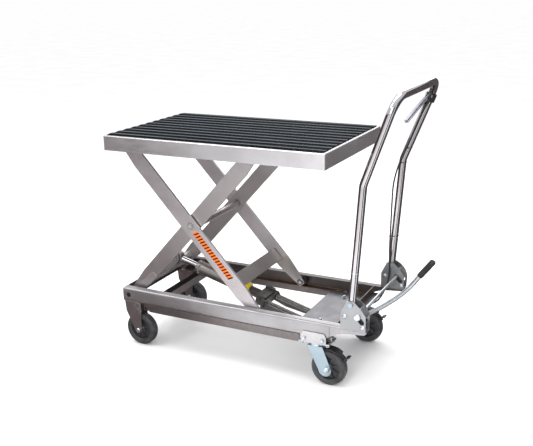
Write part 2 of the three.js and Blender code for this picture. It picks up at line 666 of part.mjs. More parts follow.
// ---- push handle --------------------------------------------------------------------------
function handleBracket(yLow) {
  const [foot, width] = [BRACKET_FOOT_Z, 33];
  const chamfered = [[438, foot], [438, 271], [458, 312], [480, 314], [504, 293], [521, 269], [521, foot]];
  const rounded = new THREE.Shape();
  rounded.moveTo(440, foot);
  rounded.lineTo(440, 271);
  rounded.lineTo(458, 312);
  rounded.lineTo(478, 314);
  rounded.bezierCurveTo(500, 308, 524, 286, 524, 256);
  rounded.lineTo(522, foot);
  const outerPlate = plateXZ(chamfered, [yLow, yLow + 3]);
  const innerPlate = plateXZ(rounded, [yLow + width - 3, yLow + width], 10);
  const web = plateXZ([[500, 294], [521, 266], [521, 270], [504, 294]], [yLow, yLow + width]);
  const seat = box([438, 521], [yLow, yLow + width], [218 + GAP, foot + 0.1]);
  const slot = new THREE.Shape();
  const slotEnd = [LOCK_ROD[0] + 0.665 * LOCK_TRAVEL, LOCK_ROD[1] - 0.747 * LOCK_TRAVEL];
  const slotR = 8;
  const turn = Math.atan2(slotEnd[1] - LOCK_ROD[1], slotEnd[0] - LOCK_ROD[0]);
  const square = Math.PI / 2;
  slot.absarc(...LOCK_ROD, slotR, turn + square, turn + 3 * square, false);
  slot.absarc(...slotEnd, slotR, turn - square, turn + square, false);
  const slotCut = plateXZ(slot, [yLow - 5, yLow + width + 5]);
  const pinHole = rodY(...HANDLE_PIVOT, 5 + GAP, [yLow - 5, yLow + width + 5]);
  return combine([outerPlate, innerPlate, web, seat], [slotCut, pinHole]);
}
addPart('handle_bracket_near', handleBracket(-212), POWDER);
addPart('handle_bracket_far', handleBracket(179), POWDER);

const corner = ([x, z], y) => new THREE.Vector3(x, y, z);
const handlePath = roundedPath([
  corner(HANDLE_FOOT, -HANDLE_Y), corner(HANDLE_KINK, -HANDLE_Y), corner(HANDLE_TOP, -HANDLE_TOP_Y),
  corner(HANDLE_TOP, HANDLE_TOP_Y), corner(HANDLE_KINK, HANDLE_Y), corner(HANDLE_FOOT, HANDLE_Y),
], [60, HANDLE_BEND, HANDLE_BEND, 60], [3, 7, 7, 3]);
const handleTube = tube(handlePath, HANDLE_TUBE_R, HANDLE_TUBE_BORE, 12);
const pivotHoles = sides.map(([, side]) => rodY(...HANDLE_PIVOT, 5 + GAP, sideRange(side, [170, 220]), 16));
addPart('push_handle', combine([handleTube], pivotHoles), CHROME);
for (const [label, side] of sides) {
  const bolt = [
    rodY(...HANDLE_PIVOT, 5, sideRange(side, [176, 216]), 16),
    rodY(...HANDLE_PIVOT, 8, sideRange(side, [212 + GAP, 217]), 6),
    rodY(...HANDLE_PIVOT, 8, sideRange(side, [175.5, 179 - GAP]), 6),
  ];
  addPart(`handle_bolt_${label}`, combine(bolt), ZINC);
}

function lockRod() {
  const heads = sides.map(([, side]) => rodY(...LOCK_ROD, 11, sideRange(side, [212 + GAP, 218]), 20));
  return combine([rodY(...LOCK_ROD, 5, [-217, 217], 16), ...heads]);
}
addPart('lock_rod', lockRod(), ZINC);

// The release lever, its perch and the top of the cable lie in the plane of the handle's upper part:
// local Z runs up the handle, local X is square to that plane.
const upper = new THREE.Group();
upper.position.set(HANDLE_KINK[0], 0, HANDLE_KINK[1]);
upper.rotation.y = Math.atan2(HANDLE_TOP[0] - HANDLE_KINK[0], HANDLE_TOP[1] - HANDLE_KINK[1]);
cart.add(upper);
const LEVER_PIVOT = [182, 234]; // y, z in the handle's plane

function rodX(y, z, radius, x, segments = 16) {
  const geometry = new THREE.CylinderGeometry(radius, radius, x[1] - x[0], segments);
  geometry.rotateZ(Math.PI / 2);
  geometry.translate((x[0] + x[1]) / 2, y, z);
  return geometry;
}

function leverPerch() {
  const clamp = new THREE.CylinderGeometry(17.5, 17.5, 26, 24);
  clamp.rotateX(Math.PI / 2);
  clamp.translate(0, 212.4, 224);
  const legHole = new THREE.CylinderGeometry(14.2, 14.2, 60, 24);
  legHole.rotateX(Math.PI / 2);
  legHole.translate(0, 212.4, 224);
  const ears = box([-8, 8], [175, 199], [213, 243]);
  const slot = box([-3, 3], [170, 191], [200, 250]);
  const cableBoss = box([-6, 6], [181, 194], [204, 214]);
  const cableHole = box([-3.4, 3.4], [183.6, 190.4], [196, 216]);
  const pin = rodX(...LEVER_PIVOT, 3, [-11, 11]);
  return combine([combine([clamp, ears, cableBoss], [legHole, slot, cableHole]), pin]);
}

function releaseLever() {
  const [y, z] = LEVER_PIVOT;
  const blade = new THREE.Shape();
  blade.moveTo(y + 3, z + 7);
  blade.absarc(y, z, 7, Math.PI * 0.4, -Math.PI * 0.6, true);
  blade.quadraticCurveTo(y - 70, z - 22, y - 168, z - 68);
  blade.lineTo(y - 174, z - 58);
  blade.quadraticCurveTo(y - 76, z - 8, y + 3, z + 7);
  const geometry = new THREE.ExtrudeGeometry(blade, { depth: 4, bevelEnabled: false, curveSegments: 8 });
  geometry.rotateY(Math.PI / 2);
  geometry.rotateX(Math.PI / 2);
  geometry.translate(-2, 0, 0);
  const edge = new THREE.Shape();
  edge.moveTo(y - 28, z - 8);
  edge.quadraticCurveTo(y - 76, z - 22, y - 167, z - 65);
  edge.lineTo(y - 169, z - 61);
  edge.quadraticCurveTo(y - 78, z - 17, y - 28, z - 4);
  const flange = new THREE.ExtrudeGeometry(edge, { depth: 14, bevelEnabled: false, curveSegments: 8 });
  flange.rotateY(Math.PI / 2);
  flange.rotateX(Math.PI / 2);
  flange.translate(-7, 0, 0);
  return combine([geometry, flange], [rodX(y, z, 3 + GAP, [-20, 20])]);
}

addPart('lever_perch', leverPerch(), BLACK_PLASTIC, upper);
addPart('release_lever', releaseLever(), ZINC, upper);

// ---- release cable ------------------------------------------------------------------------
const CABLE_R = 3;
const route = (points) => new THREE.CatmullRomCurve3(points.map(([x, y, z]) => new THREE.Vector3(x, y, z)));
const cableUpper = route([
  [572.6, 187, 873.6], [563.5, 186, 850], [548, 182, 812], [520, 181, 738],
  [499, 179, 688], [483, 178.5, 640], [473, 179, 590], [470, 180, 532],
  [467, 180.5, 409], [467, 178, 365], [469.5, 172.5, 333], [470.5, 171, 303.4],
]);
const cableLower = route([
  [470.5, 171, 301], [470, 170.5, 272], [466, 167, 240], [456, 155, 207],
  [438, 136, 178], [405, 112, 168], [368, 88, 173], [333, 68, 173], [258, 44, 172],
]);
addPart('release_cable_upper', tube(cableUpper.getSpacedPoints(30), CABLE_R, 0, 6), BLACK_PLASTIC);
addPart('release_cable_lower', tube(cableLower.getSpacedPoints(20), CABLE_R - 0.5, 0, 6), BLACK_PLASTIC);

export default cart;
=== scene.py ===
"""Looks of the manual scissor lift table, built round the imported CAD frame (metres, +Z up, handle at +X)."""

import json
import math

import bmesh
import bpy
from mathutils import Matrix, Vector


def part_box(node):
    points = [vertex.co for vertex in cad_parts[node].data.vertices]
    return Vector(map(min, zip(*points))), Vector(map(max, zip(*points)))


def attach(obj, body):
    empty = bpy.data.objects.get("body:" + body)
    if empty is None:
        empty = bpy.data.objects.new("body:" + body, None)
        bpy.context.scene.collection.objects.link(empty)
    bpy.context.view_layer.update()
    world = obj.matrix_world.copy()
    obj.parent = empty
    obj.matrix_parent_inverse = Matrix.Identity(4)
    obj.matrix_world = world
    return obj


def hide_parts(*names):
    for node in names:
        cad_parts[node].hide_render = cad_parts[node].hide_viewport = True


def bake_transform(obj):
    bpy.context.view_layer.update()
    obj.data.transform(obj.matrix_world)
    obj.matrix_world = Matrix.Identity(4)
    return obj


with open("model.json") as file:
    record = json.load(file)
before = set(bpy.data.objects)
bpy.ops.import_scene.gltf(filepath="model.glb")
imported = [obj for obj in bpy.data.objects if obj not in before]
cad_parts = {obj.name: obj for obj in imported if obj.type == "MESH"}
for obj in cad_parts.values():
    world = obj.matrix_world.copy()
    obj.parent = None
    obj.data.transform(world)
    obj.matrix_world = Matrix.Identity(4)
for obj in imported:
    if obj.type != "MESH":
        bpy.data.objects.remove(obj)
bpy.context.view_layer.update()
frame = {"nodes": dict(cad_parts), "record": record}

# ---- driving sizes, in millimetres of the cart's own frame ----
MM = 0.001
CART_MIDDLE = 135.3  # the part's origin is this far from the table's middle towards the handle
SIDES = (("near", -1), ("far", 1))
ALONG_Y = (0, 1, 0)
TOWARDS_NEAR = (0, -1, 0)
UP = (0, 0, 1)
DOWN = (0, 0, -1)

ARM_LENGTH = 756
REST_ANGLE = math.radians(47.7)
PIVOT = (-377, 193)
TABLE_PIVOT_Z = PIVOT[1] + ARM_LENGTH * math.sin(REST_ANGLE)
OUTER_ARM_FACE = 173
OUTER_ARM_INNER_FACE = 163
INNER_ARM_FACE = 160.2
STUD_HEAD_FACE = 161.9
PIN_END = 174.5
SHAFT_END = 199.4
ROLLER_Y = 185.75
CROSS_TUBE_END = 149.6
CROSS_TUBE = (ARM_LENGTH / 2 + 2, -5)  # along an inner arm, and off its centre line
RAM_TUBE = (58, 0)
BEAM_WELD = (ARM_LENGTH - 156, ARM_LENGTH - 110)
STRIP = (403, 603)

WHEEL_R = 60
WHEEL_HALF = 16
FIXED_WHEEL = (-345, 175)
CASTER_WHEEL = (389, 178)
CASTER_PIVOT_X = 347
AXLE_END = 28
PLATE_BOLTS_X = (303, 391)
PLATE_BOLTS_Y = (155, 200)
PLATE_TOP = 151.2
PLATE_UNDERSIDE = 145.8
RACE_FOOT = 135.6

HANDLE_R = 12.5
HANDLE_FOOT = (468.8, 276)
HANDLE_KINK = (499.5, 681)
HANDLE_TOP = (600.5, 947)
HANDLE_Y = 195.5
HANDLE_TOP_Y = 217
LOCK_ROD = (494, 265)
LOCK_ROD_END = 216.8
LOCK_HEAD_FACE = 212.3
SEAM_Z = 404
LEVER_PIVOT = (182, 234)  # y and height up the handle's upper part
CLAMP_BOLT_Z = 230

RAM_PIVOT = (300, 121)
RAM_LENGTH = 615.71
RAM_RISE = math.radians(15.42)
GLAND = RAM_LENGTH - 92
COLLAR = (RAM_LENGTH - 314, RAM_LENGTH - 296)
BLOCK = (RAM_LENGTH - 394, RAM_LENGTH - 358)
SPRING_Y = 34
SPRING_UP = 2
SPRING_SPAN = (50.6, BLOCK[0] - 9.6)
BLOCK_SIDE = 39.8
CHEEK_FACE = 51.8

PEDAL_ROUTE = (
    (378, 147), (410, 158), (445, 181), (490, 211), (536, 247), (565, 273), (592, 302), (615, 332),
    (626, 348), (651, 381),
)
GRIP = ((625.4, 347.1), (669.5, 405))

DECK_TOP = 184
DECK_EDGE = 161
DECK_BOLT = (328, 109)
BRACKET_FACES = {"near": (-182, -209, -212), "far": (179, 212, 179)}  # inner weld, outer weld, rivets
BRACKET_SEAT = 219
LUG_FACE = 207.9
FLANGE_EDGE_Z = 171.2

CABLE_R = 2.7
CABLE_AT_TIE = (467, 180.5, 409)
CABLE_UPPER = (
    (572.6, 187, 873.6), (563.5, 186, 850), (548, 182, 812), (520, 181, 738), (499, 179, 688),
    (483, 178.5, 640), (473, 179, 590), (470, 180, 532), (468.5, 180.5, 470), CABLE_AT_TIE,
    (467, 178, 365), (469.5, 172.5, 333), (470.5, 171, 302),
)
CABLE_LOWER = (
    (470, 170.5, 272), (466, 167, 240), (456, 155, 207), (438, 136, 178), (405, 112, 168),
    (368, 88, 173), (333, 68, 173), (300, 54, 172.5), (258.5, 44, 172),
)
CABLE_STOP = (266, 46, 172.2)

WELD_RIPPLE = 3.2

CAMERA_PLACE = (1272.25, -2360.59, 1264.66)
CAMERA_TURNS = (26.808, 16.916, -1.025)  # azimuth, elevation and roll, in degrees
CAMERA_LENS = 53.98


def at(x, y, z):
    """A point of the cart's frame, in metres of the part's frame."""
    return Vector(((x - CART_MIDDLE) * MM, y * MM, z * MM))


# ---- shader helpers ----
def linear(rgb):
    """sRGB in 0..255 as a linear RGBA colour."""
    parts = [c / 255 for c in rgb]
    return tuple(c / 12.92 if c <= 0.04045 else ((c + 0.055) / 1.055) ** 2.4 for c in parts) + (1.0,)


def tint(colour, factor):
    """The linear colour, made lighter or darker."""
    return tuple(min(1.0, c * factor) for c in colour[:3]) + (1.0,)


class Shader:
    """A node material that is built one node at a time."""

    def __init__(self, name, metallic=0.0, **sockets):
        self.material = bpy.data.materials.new(name)
        self.material.use_nodes = True
        self.tree = self.material.node_tree
        self.surface = self.tree.nodes["Principled BSDF"]
        self.surface.inputs["Metallic"].default_value = metallic
        for socket, value in sockets.items():
            self.surface.inputs[socket.replace("_", " ")].default_value = value
        self.place = self.tree.nodes.new("ShaderNodeTexCoord").outputs["Object"]

    def add(self, kind, links=(), values=(), **settings):
        made = self.tree.nodes.new("ShaderNode" + kind)
        for key, value in settings.items():
            setattr(made, key, value)
        for socket, value in dict(values).items():
            made.inputs[socket].default_value = value
        for socket, source in dict(links).items():
            self.tree.links.new(source, made.inputs[socket])
        return made

    def feed(self, made, inputs):
        """Sets the sockets that get plain values and links the ones that get another node's output."""
        for socket, value in inputs:
            if isinstance(value, (int, float, tuple)):
                made.inputs[socket].default_value = value
            elif value is not None:
                self.tree.links.new(value, made.inputs[socket])
        return made

    def stretched(self, scale):
        return self.add("Mapping", {"Vector": self.place}, {"Scale": scale}).outputs["Vector"]

    def noise(self, scale, detail=3.0, rough=0.55, vector=None):
        values = {"Scale": scale, "Detail": detail, "Roughness": rough}
        return self.add("TexNoise", {"Vector": vector or self.place}, values).outputs["Fac"]

    def ramp(self, source, stops):
        """stops is a list of (position, colour or grey)."""
        made = self.add("ValToRGB", {"Fac": source})
        elements = made.color_ramp.elements
        while len(elements) < len(stops):
            elements.new(0.5)
        for element, (position, colour) in zip(elements, stops):
            element.position = position
            element.color = colour if isinstance(colour, tuple) else (colour, colour, colour, 1.0)
        return made.outputs["Color"]

    def mix(self, factor, a, b, blend="MIX"):
        made = self.add("Mix", data_type="RGBA", blend_type=blend)
        return self.feed(made, ((0, factor), (6, a), (7, b))).outputs[2]

    def math(self, operation, a, b=None):
        made = self.add("Math", operation=operation)
        return self.feed(made, ((0, a), (1, b))).outputs[0]

    def colour(self, source):
        self.tree.links.new(source, self.surface.inputs["Base Color"])

    def roughness(self, source):
        self.tree.links.new(source, self.surface.inputs["Roughness"])

    def mottled(self, scale, low, high):
        """Roughness in patches between two values."""
        self.roughness(self.ramp(self.noise(scale, 3), [(0.3, low), (0.7, high)]))

    def bump(self, height, strength, distance):
        made = self.add("Bump", {"Height": height}, {"Strength": strength, "Distance": distance})
        self.tree.links.new(made.outputs["Normal"], self.surface.inputs["Normal"])

    def edge_wear(self):
        """1 along sharp outer edges, broken up by noise."""
        pointed = self.add("NewGeometry").outputs["Pointiness"]
        edge = self.ramp(pointed, [(0.56, 0.0), (0.7, 1.0)])
        patches = self.ramp(self.noise(60, 4), [(0.45, 0.0), (0.62, 1.0)])
        return self.math("MULTIPLY", edge, patches)


# ---- materials ----
def powder_coat(name, rgb, streak=None, worn_edges=True):
    """Silver-grey metallic powder coat: flake sparkle, orange peel, handling marks, brighter worn edges."""
    s = Shader(name, metallic=0.9, Coat_Weight=0.08, Coat_Roughness=0.3)
    base = linear(rgb)
    broad = s.ramp(s.noise(9, 3), [(0.35, tint(base, 0.92)), (0.65, tint(base, 1.06))])
    flake = s.ramp(s.noise(420, 2, 0.8), [(0.3, 0.86), (0.7, 1.12)])
    colour = s.mix(1.0, broad, flake, "MULTIPLY")
    rubbed = s.ramp(s.noise(14, 5, 0.7), [(0.58, 0.0), (0.8, 0.3)])
    colour = s.mix(rubbed, colour, tint(base, 0.68))
    if worn_edges:
        colour = s.mix(s.edge_wear(), colour, linear((206, 204, 205)))
    if streak:
        colour = streak(s, colour)
    s.colour(colour)
    s.roughness(s.ramp(s.noise(26, 3, 0.5, s.stretched((1, 1, 4))), [(0.3, 0.34), (0.7, 0.44)]))
    s.bump(s.noise(700, 2), 0.1, 0.0002)
    return s.material


def greasy_rail(s, colour):
    """A rust-yellow line of old grease along the lower flange's edge."""
    split = s.add("SeparateXYZ", {"Vector": s.place})
    wander = s.math("MULTIPLY", s.noise(18, 3, vector=s.stretched((1, 0.2, 0.2))), 0.004)
    height = s.math("SUBTRACT", split.outputs["Z"], wander)
    off_flange = s.math("ABSOLUTE", s.math("SUBTRACT", height, FLANGE_EDGE_Z * MM))
    band = s.ramp(s.math("MULTIPLY", off_flange, 200), [(0.2, 1.0), (0.75, 0.0)])
    patches = s.ramp(s.noise(45, 4), [(0.4, 0.0), (0.62, 0.85)])
    return s.mix(s.math("MULTIPLY", band, patches), colour, linear((142, 108, 52)))


def zinc(name, rgb, roughness=(0.2, 0.36)):
    """Bright zinc plate: bluish passivate, faint crystal patches, brushed roughness."""
    s = Shader(name, metallic=0.9)
    base = linear(rgb)
    crystal = s.add("TexVoronoi", {"Vector": s.place}, {"Scale": 420.0}).outputs["Color"]
    grey = s.ramp(crystal, [(0.0, 0.96), (1.0, 1.03)])
    patches = s.ramp(s.noise(18, 4), [(0.35, base), (0.65, linear([min(255, c + 12) for c in rgb]))])
    s.colour(s.mix(1.0, patches, grey, "MULTIPLY"))
    brushed = s.noise(120, 3, 0.6, s.stretched((1, 1, 0.2)))
    s.roughness(s.ramp(brushed, [(0.3, roughness[0]), (0.7, roughness[1])]))
    s.bump(s.noise(900, 2), 0.05, 0.0001)
    return s.material


def chrome(name):
    """Polished chrome tube: drawn lines, faint finger marks, brown streaks in the duller patches that are a
    painted reflection.
    """
    s = Shader(name, metallic=1.0)
    broad = s.noise(7, 3, 0.6, s.stretched((1, 1, 0.35)))
    plate = s.ramp(broad, [(0.3, linear((166, 162, 164))), (0.7, linear((198, 197, 200)))])
    # Brown streaks in the colour: a painted reflection of brownish surroundings.
    brown_reflection = s.ramp(s.noise(22, 5, 0.7, s.stretched((1, 1, 0.2))), [(0.58, 0.0), (0.8, 0.45)])
    s.colour(s.mix(brown_reflection, plate, linear((150, 128, 126))))
    marks = s.ramp(s.noise(34, 5, 0.7), [(0.5, 0.04), (0.75, 0.12)])
    lines = s.ramp(s.noise(300, 2, vector=s.stretched((1, 1, 0.04))), [(0.3, 0.0), (0.7, 0.04)])
    s.roughness(s.math("ADD", marks, lines))
    s.bump(s.noise(260, 2, vector=s.stretched((1, 1, 0.05))), 0.03, 0.0001)
    return s.material


def dark_steel(name, rgb=(66, 62, 60), metallic=0.6, roughness=(0.3, 0.5), blotch=0.8):
    """Painted or blackened steel with an oily film and scuffed edges."""
    s = Shader(name, metallic=metallic)
    base = linear(rgb)
    colour = s.ramp(s.noise(20, 4, 0.6), [(0.35, tint(base, blotch)), (0.62, base)])
    grain = s.ramp(s.noise(500, 2, 0.7), [(0.3, 0.9), (0.7, 1.1)])
    colour = s.mix(1.0, colour, grain, "MULTIPLY")
    s.colour(s.mix(s.edge_wear(), colour, tint(base, 1.9)))
    s.roughness(s.ramp(s.noise(55, 4), [(0.35, roughness[0]), (0.65, roughness[1])]))
    s.bump(s.noise(420, 3), 0.12, 0.0002)
    return s.material


def mat_rubber(name, pitch, half_width):
    """Ribbed rubber sheet: rib tops painted lighter as sheen, grooves painted near black as shade, dust
    patches, fine lengthwise drag lines.
    """
    s = Shader(name, metallic=0.0, Specular_IOR_Level=0.02)
    split = s.add("SeparateXYZ", {"Vector": s.place})
    across = s.math("DIVIDE", s.math("ADD", split.outputs["Y"], half_width), pitch)
    place_in_rib = s.math("ABSOLUTE", s.math("SUBTRACT", s.math("FRACT", across), 0.5))
    drag = s.noise(120, 4, vector=s.stretched((0.06, 1, 1)))
    wobble = s.math("ADD", place_in_rib, s.math("MULTIPLY", s.math("SUBTRACT", drag, 0.5), 0.12))
    # Across a rib: a light crest as painted sheen, a darker shoulder and a near-black groove as painted shade.
    crest_sheen, shoulder, groove_shade = linear((84, 90, 95)), linear((30, 34, 38)), linear((3, 4, 6))
    rubber = s.ramp(wobble, [(0.05, crest_sheen), (0.15, shoulder), (0.24, groove_shade)])
    dust = s.ramp(s.noise(14, 5, 0.7), [(0.55, 0.0), (0.9, 0.08)])
    s.colour(s.mix(dust, rubber, linear((84, 85, 88))))
    s.roughness(s.ramp(drag, [(0.3, 0.6), (0.7, 0.78)]))
    s.bump(s.math("ADD", s.noise(700, 2), s.math("MULTIPLY", drag, 0.6)), 0.25, 0.0003)
    return s.material


def tyre_rubber(name):
    """Solid rubber tyre: dark grey, scuffed tread, lighter in broad patches."""
    s = Shader(name, metallic=0.0, Specular_IOR_Level=0.4)
    colour = s.ramp(s.noise(40, 5, 0.65), [(0.35, linear((50, 50, 51))), (0.7, linear((76, 75, 76)))])
    s.colour(s.mix(s.ramp(s.noise(8, 3), [(0.5, 0.0), (0.8, 0.3)]), colour, linear((80, 78, 77))))
    s.mottled(70, 0.4, 0.62)
    s.bump(s.noise(650, 3), 0.3, 0.0004)
    return s.material


def black_plastic(name, rgb=(27, 27, 29), roughness=(0.34, 0.5), grain=1100):
    """Moulded plastic with a fine spark-eroded grain."""
    s = Shader(name, metallic=0.0)
    base = linear(rgb)
    s.colour(s.ramp(s.noise(30, 4), [(0.35, base), (0.75, tint(base, 1.7))]))
    s.mottled(80, *roughness)
    s.bump(s.add("TexVoronoi", {"Vector": s.place}, {"Scale": grain}).outputs["Distance"], 0.2, 0.0003)
    return s.material


def yellow_paint(name):
    """Glossy yellow enamel with a little oily grime."""
    s = Shader(name, metallic=0.0, Coat_Weight=0.2, Coat_Roughness=0.2)
    paint = s.ramp(s.noise(30, 4), [(0.35, linear((244, 210, 24))), (0.7, linear((255, 232, 48)))])
    grime = s.ramp(s.noise(85, 5, 0.7), [(0.64, 0.0), (0.8, 0.3)])
    s.colour(s.mix(grime, paint, linear((120, 104, 44))))
    s.mottled(90, 0.3, 0.5)
    s.bump(s.noise(500, 2), 0.1, 0.0002)
    return s.material


def strip_film(name, rgb):
    """Printed vinyl film, a little faded and scratched."""
    s = Shader(name, metallic=0.0, Specular_IOR_Level=0.2)
    base = linear(rgb)
    faded = tuple(min(1.0, c * 0.86 + 0.01) for c in base[:3]) + (1.0,)
    s.colour(s.ramp(s.noise(60, 4), [(0.3, base), (0.75, faded)]))
    s.mottled(110, 0.35, 0.5)
    s.bump(s.noise(800, 2), 0.08, 0.0002)
    return s.material


def weld_metal(name):
    """Weld bead under the powder coat: rippled, in mottled grey."""
    s = Shader(name, metallic=0.5)
    s.colour(s.ramp(s.noise(220, 4), [(0.3, linear((104, 98, 96))), (0.7, linear((168, 163, 162)))]))
    s.mottled(150, 0.4, 0.6)
    s.bump(s.noise(450, 3), 0.35, 0.0005)
    return s.material


def pale_floor(name):
    """Matt, nearly white studio floor."""
    s = Shader(name, metallic=0.0, Specular_IOR_Level=0.0)
    s.colour(s.ramp(s.noise(3, 4), [(0.3, linear((246, 246, 247))), (0.7, linear((252, 252, 252)))]))
    s.mottled(9, 0.75, 0.85)
    return s.material


# The part coats below are one grey powder coat at several brightnesses, each set to how lit or shaded its
# parts are: painted light and shade. The table, caster plates and outer arms are painted lighter as lit. The
# forks, side bars, cross members, far rail and deck are painted darker as shaded.
TABLE_POWDER = powder_coat("table_powder_coat", (196, 194, 196))
POWDER = powder_coat("powder_coat", (168, 166, 168))
OUTER_POWDER = powder_coat("outer_arm_powder_coat", (196, 191, 193))
ARM_POWDER = powder_coat("arm_powder_coat", (176, 171, 172))
FORK_POWDER = powder_coat("fork_powder_coat", (150, 144, 143))
DARK_POWDER = powder_coat("shaded_powder_coat", (122, 116, 115))
# The far rail's darker tone is painted shade; the grease line along its lower flange is a real stain.
FAR_RAIL_POWDER = powder_coat("greasy_shaded_powder_coat", (108, 103, 102), greasy_rail)
DECK_POWDER = powder_coat("deck_powder_coat", (108, 107, 111), worn_edges=False)
BRACKET_ZINC = powder_coat("bracket_coat", (158, 160, 162))
ZINC = zinc("zinc", (160, 177, 186), (0.28, 0.42))
BRIGHT_ZINC = zinc("bright_zinc", (204, 210, 215), (0.24, 0.36))
LEVER_ALLOY = powder_coat("lever_alloy", (150, 149, 158), worn_edges=False)
CHROME = chrome("chrome")
DARK_STEEL = dark_steel("dark_steel")
SPRING_STEEL = dark_steel("spring_steel", (168, 166, 163), 0.8, (0.24, 0.36), 0.9)
RAM_STEEL = powder_coat("ram_barrel_coat", (150, 145, 141), worn_edges=False)
PUMP_STEEL = dark_steel("pump_steel", (80, 77, 75), 0.45, (0.36, 0.5), 0.88)
# Near black: painted shade in the shaft ends and the pump port, and on the base pivot shaft seen through its
# holes.
HOLE_SHADE = dark_steel("shaded_shaft_end", (30, 28, 28), 0.2, (0.5, 0.7))
TYRE = tyre_rubber("tyre_rubber")
HUB_PLASTIC = black_plastic("hub_plastic", (54, 54, 56), (0.26, 0.4))
BLACK_PLASTIC = black_plastic("black_plastic")
CABLE_SHEATH = black_plastic("cable_sheath", (30, 31, 34), (0.28, 0.4), 2200)
GRIP_RUBBER = black_plastic("grip_rubber", (36, 34, 34), (0.5, 0.7), 900)
YELLOW = yellow_paint("yellow_paint")
ORANGE_FILM = strip_film("orange_film", (255, 118, 6))
MAROON_FILM = strip_film("maroon_film", (58, 20, 18))
WELD = weld_metal("weld_bead")
FLOOR = pale_floor("pale_floor")


# ---- mesh helpers ----
def link(name, data):
    made = bpy.data.objects.new(name, data)
    bpy.context.scene.collection.objects.link(made)
    return made


def link_mesh(name, mesh, material):
    mesh.materials.clear()
    mesh.materials.append(material)
    return link(name, mesh)


def shade(mesh, angle=35):
    """Smooth shading, kept sharp where faces meet at more than the angle."""
    limit = math.radians(angle)
    work = bmesh.new()
    work.from_mesh(mesh)
    bmesh.ops.recalc_face_normals(work, faces=work.faces)
    for face in work.faces:
        face.smooth = True
    for edge in work.edges:
        edge.smooth = len(edge.link_faces) != 2 or edge.calc_face_angle() < limit
    work.to_mesh(mesh)
    work.free()


def finished(work, name, angle=35):
    """The bmesh as a shaded mesh."""
    mesh = bpy.data.meshes.new(name)
    work.to_mesh(mesh)
    work.free()
    shade(mesh, angle)
    return mesh


def new_mesh(name, points, faces, angle=35):
    mesh = bpy.data.meshes.new(name)
    mesh.from_pydata([tuple(p) for p in points], [], faces)
    shade(mesh, angle)
    return mesh


def piece(name, mesh, body, material, *stands_for, slot=None):
    made = link_mesh(name, mesh, material)
    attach(made, body)
    if stands_for:
        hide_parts(*stands_for)
    return made


def bevel(made, width, segments=2, angle=30):
    cut = made.modifiers.new("rounded_edges", "BEVEL")
    cut.width = width * MM
    cut.segments = segments
    cut.limit_method = "ANGLE"
    cut.angle_limit = math.radians(angle)
    cut.harden_normals = True
    return made


def body_of_node(name):
    return next(body for body, nodes in frame["record"]["behaviour"]["bodies"].items() if name in nodes)


def rounded(node, material, width=0.8, segments=2):
    """The CAD node's own shape as a visible piece with rounded edges."""
    mesh = frame["nodes"][node].data.copy()
    work = bmesh.new()
    work.from_mesh(mesh)
    bmesh.ops.remove_doubles(work, verts=work.verts, dist=1e-5)
    bmesh.ops.dissolve_limit(work, angle_limit=math.radians(0.6), verts=work.verts, edges=work.edges)
    work.to_mesh(mesh)
    work.free()
    shade(mesh, 30)
    made = piece(f"{node}_skin", mesh, body_of_node(node), material, node)
    return bevel(made, width, segments)


def frames_along(points):
    """A direction and two square axes at each point, turned as little as possible from one to the next."""
    last = len(points) - 1
    tangents = [(points[min(i + 1, last)] - points[max(i - 1, 0)]).normalized() for i in range(last + 1)]
    helper = Vector((0, 1, 0)) if abs(tangents[0].y) < 0.9 else Vector((1, 0, 0))
    side = (helper - tangents[0] * helper.dot(tangents[0])).normalized()
    result = []
    for tangent in tangents:
        side = (side - tangent * side.dot(tangent)).normalized()
        result.append((tangent, side, tangent.cross(side)))
    return result


def strips(count, ring, closed=True):
    """Quads between rows of ring points each; a closed row joins its last point to its first."""
    faces = []
    for i in range(count):
        a, b = ring * i, ring * (i + 1)
        for k in range(ring if closed else ring - 1):
            n = (k + 1) % ring
            faces.append((a + k, a + n, b + n, b + k))
    return faces


def sweep(name, points, radius, sides, flat=1.0, angle=35):
    """A closed tube mesh along points, with one radius or one for each point; flat narrows it sideways."""
    radii = radius if isinstance(radius, (list, tuple)) else [radius] * len(points)
    verts = []
    for (_, side, up), point, r in zip(frames_along(points), points, radii):
        for k in range(sides):
            turn = 2 * math.pi * k / sides
            verts.append(point + side * (r * flat * math.cos(turn)) + up * (r * math.sin(turn)))
    last = (len(points) - 1) * sides
    faces = strips(len(points) - 1, sides)
    faces += [tuple(range(sides - 1, -1, -1)), tuple(range(last, last + sides))]
    return new_mesh(name, verts, faces, angle)


def lathe(name, profile, origin, axis, segments, angle):
    """A closed solid of revolution.

    profile is (radius, distance along the axis) in mm. A profile that stays off the axis closes on itself.
    """
    direction = Vector(axis).normalized()
    turn = direction.to_track_quat("Z", "Y").to_matrix()
    verts, faces, rings = [], [], []
    for r, h in profile:
        if r < 1e-6:
            rings.append([len(verts)])
            verts.append(origin + direction * (h * MM))
            continue
        ring = []
        for k in range(segments):
            a = 2 * math.pi * k / segments
            ring.append(len(verts))
            verts.append(origin + turn @ Vector((r * math.cos(a), r * math.sin(a), h)) * MM)
        rings.append(ring)
    pairs = list(zip(rings, rings[1:]))
    if len(rings[0]) > 1 and len(rings[-1]) > 1:
        pairs.append((rings[-1], rings[0]))
    for a, b in pairs:
        for k in range(segments):
            n = (k + 1) % segments
            corners = [a[k % len(a)], a[n % len(a)], b[n % len(b)], b[k % len(b)]]
            unique = list(dict.fromkeys(corners))
            if len(unique) > 2:
                faces.append(tuple(unique))
    return new_mesh(name, verts, faces, angle)


def turned(name, profile, origin, axis, body, material, *stands_for, slot=None, segments=48, angle=30):
    """A lathed piece."""
    mesh = lathe(name, profile, origin, axis, segments, angle)
    return piece(name, mesh, body, material, *stands_for, slot=slot)


def mirrored(half):
    """A profile from its first half; the middle of its axis is at 0."""
    return half + [(r, -h) for r, h in reversed(half)]


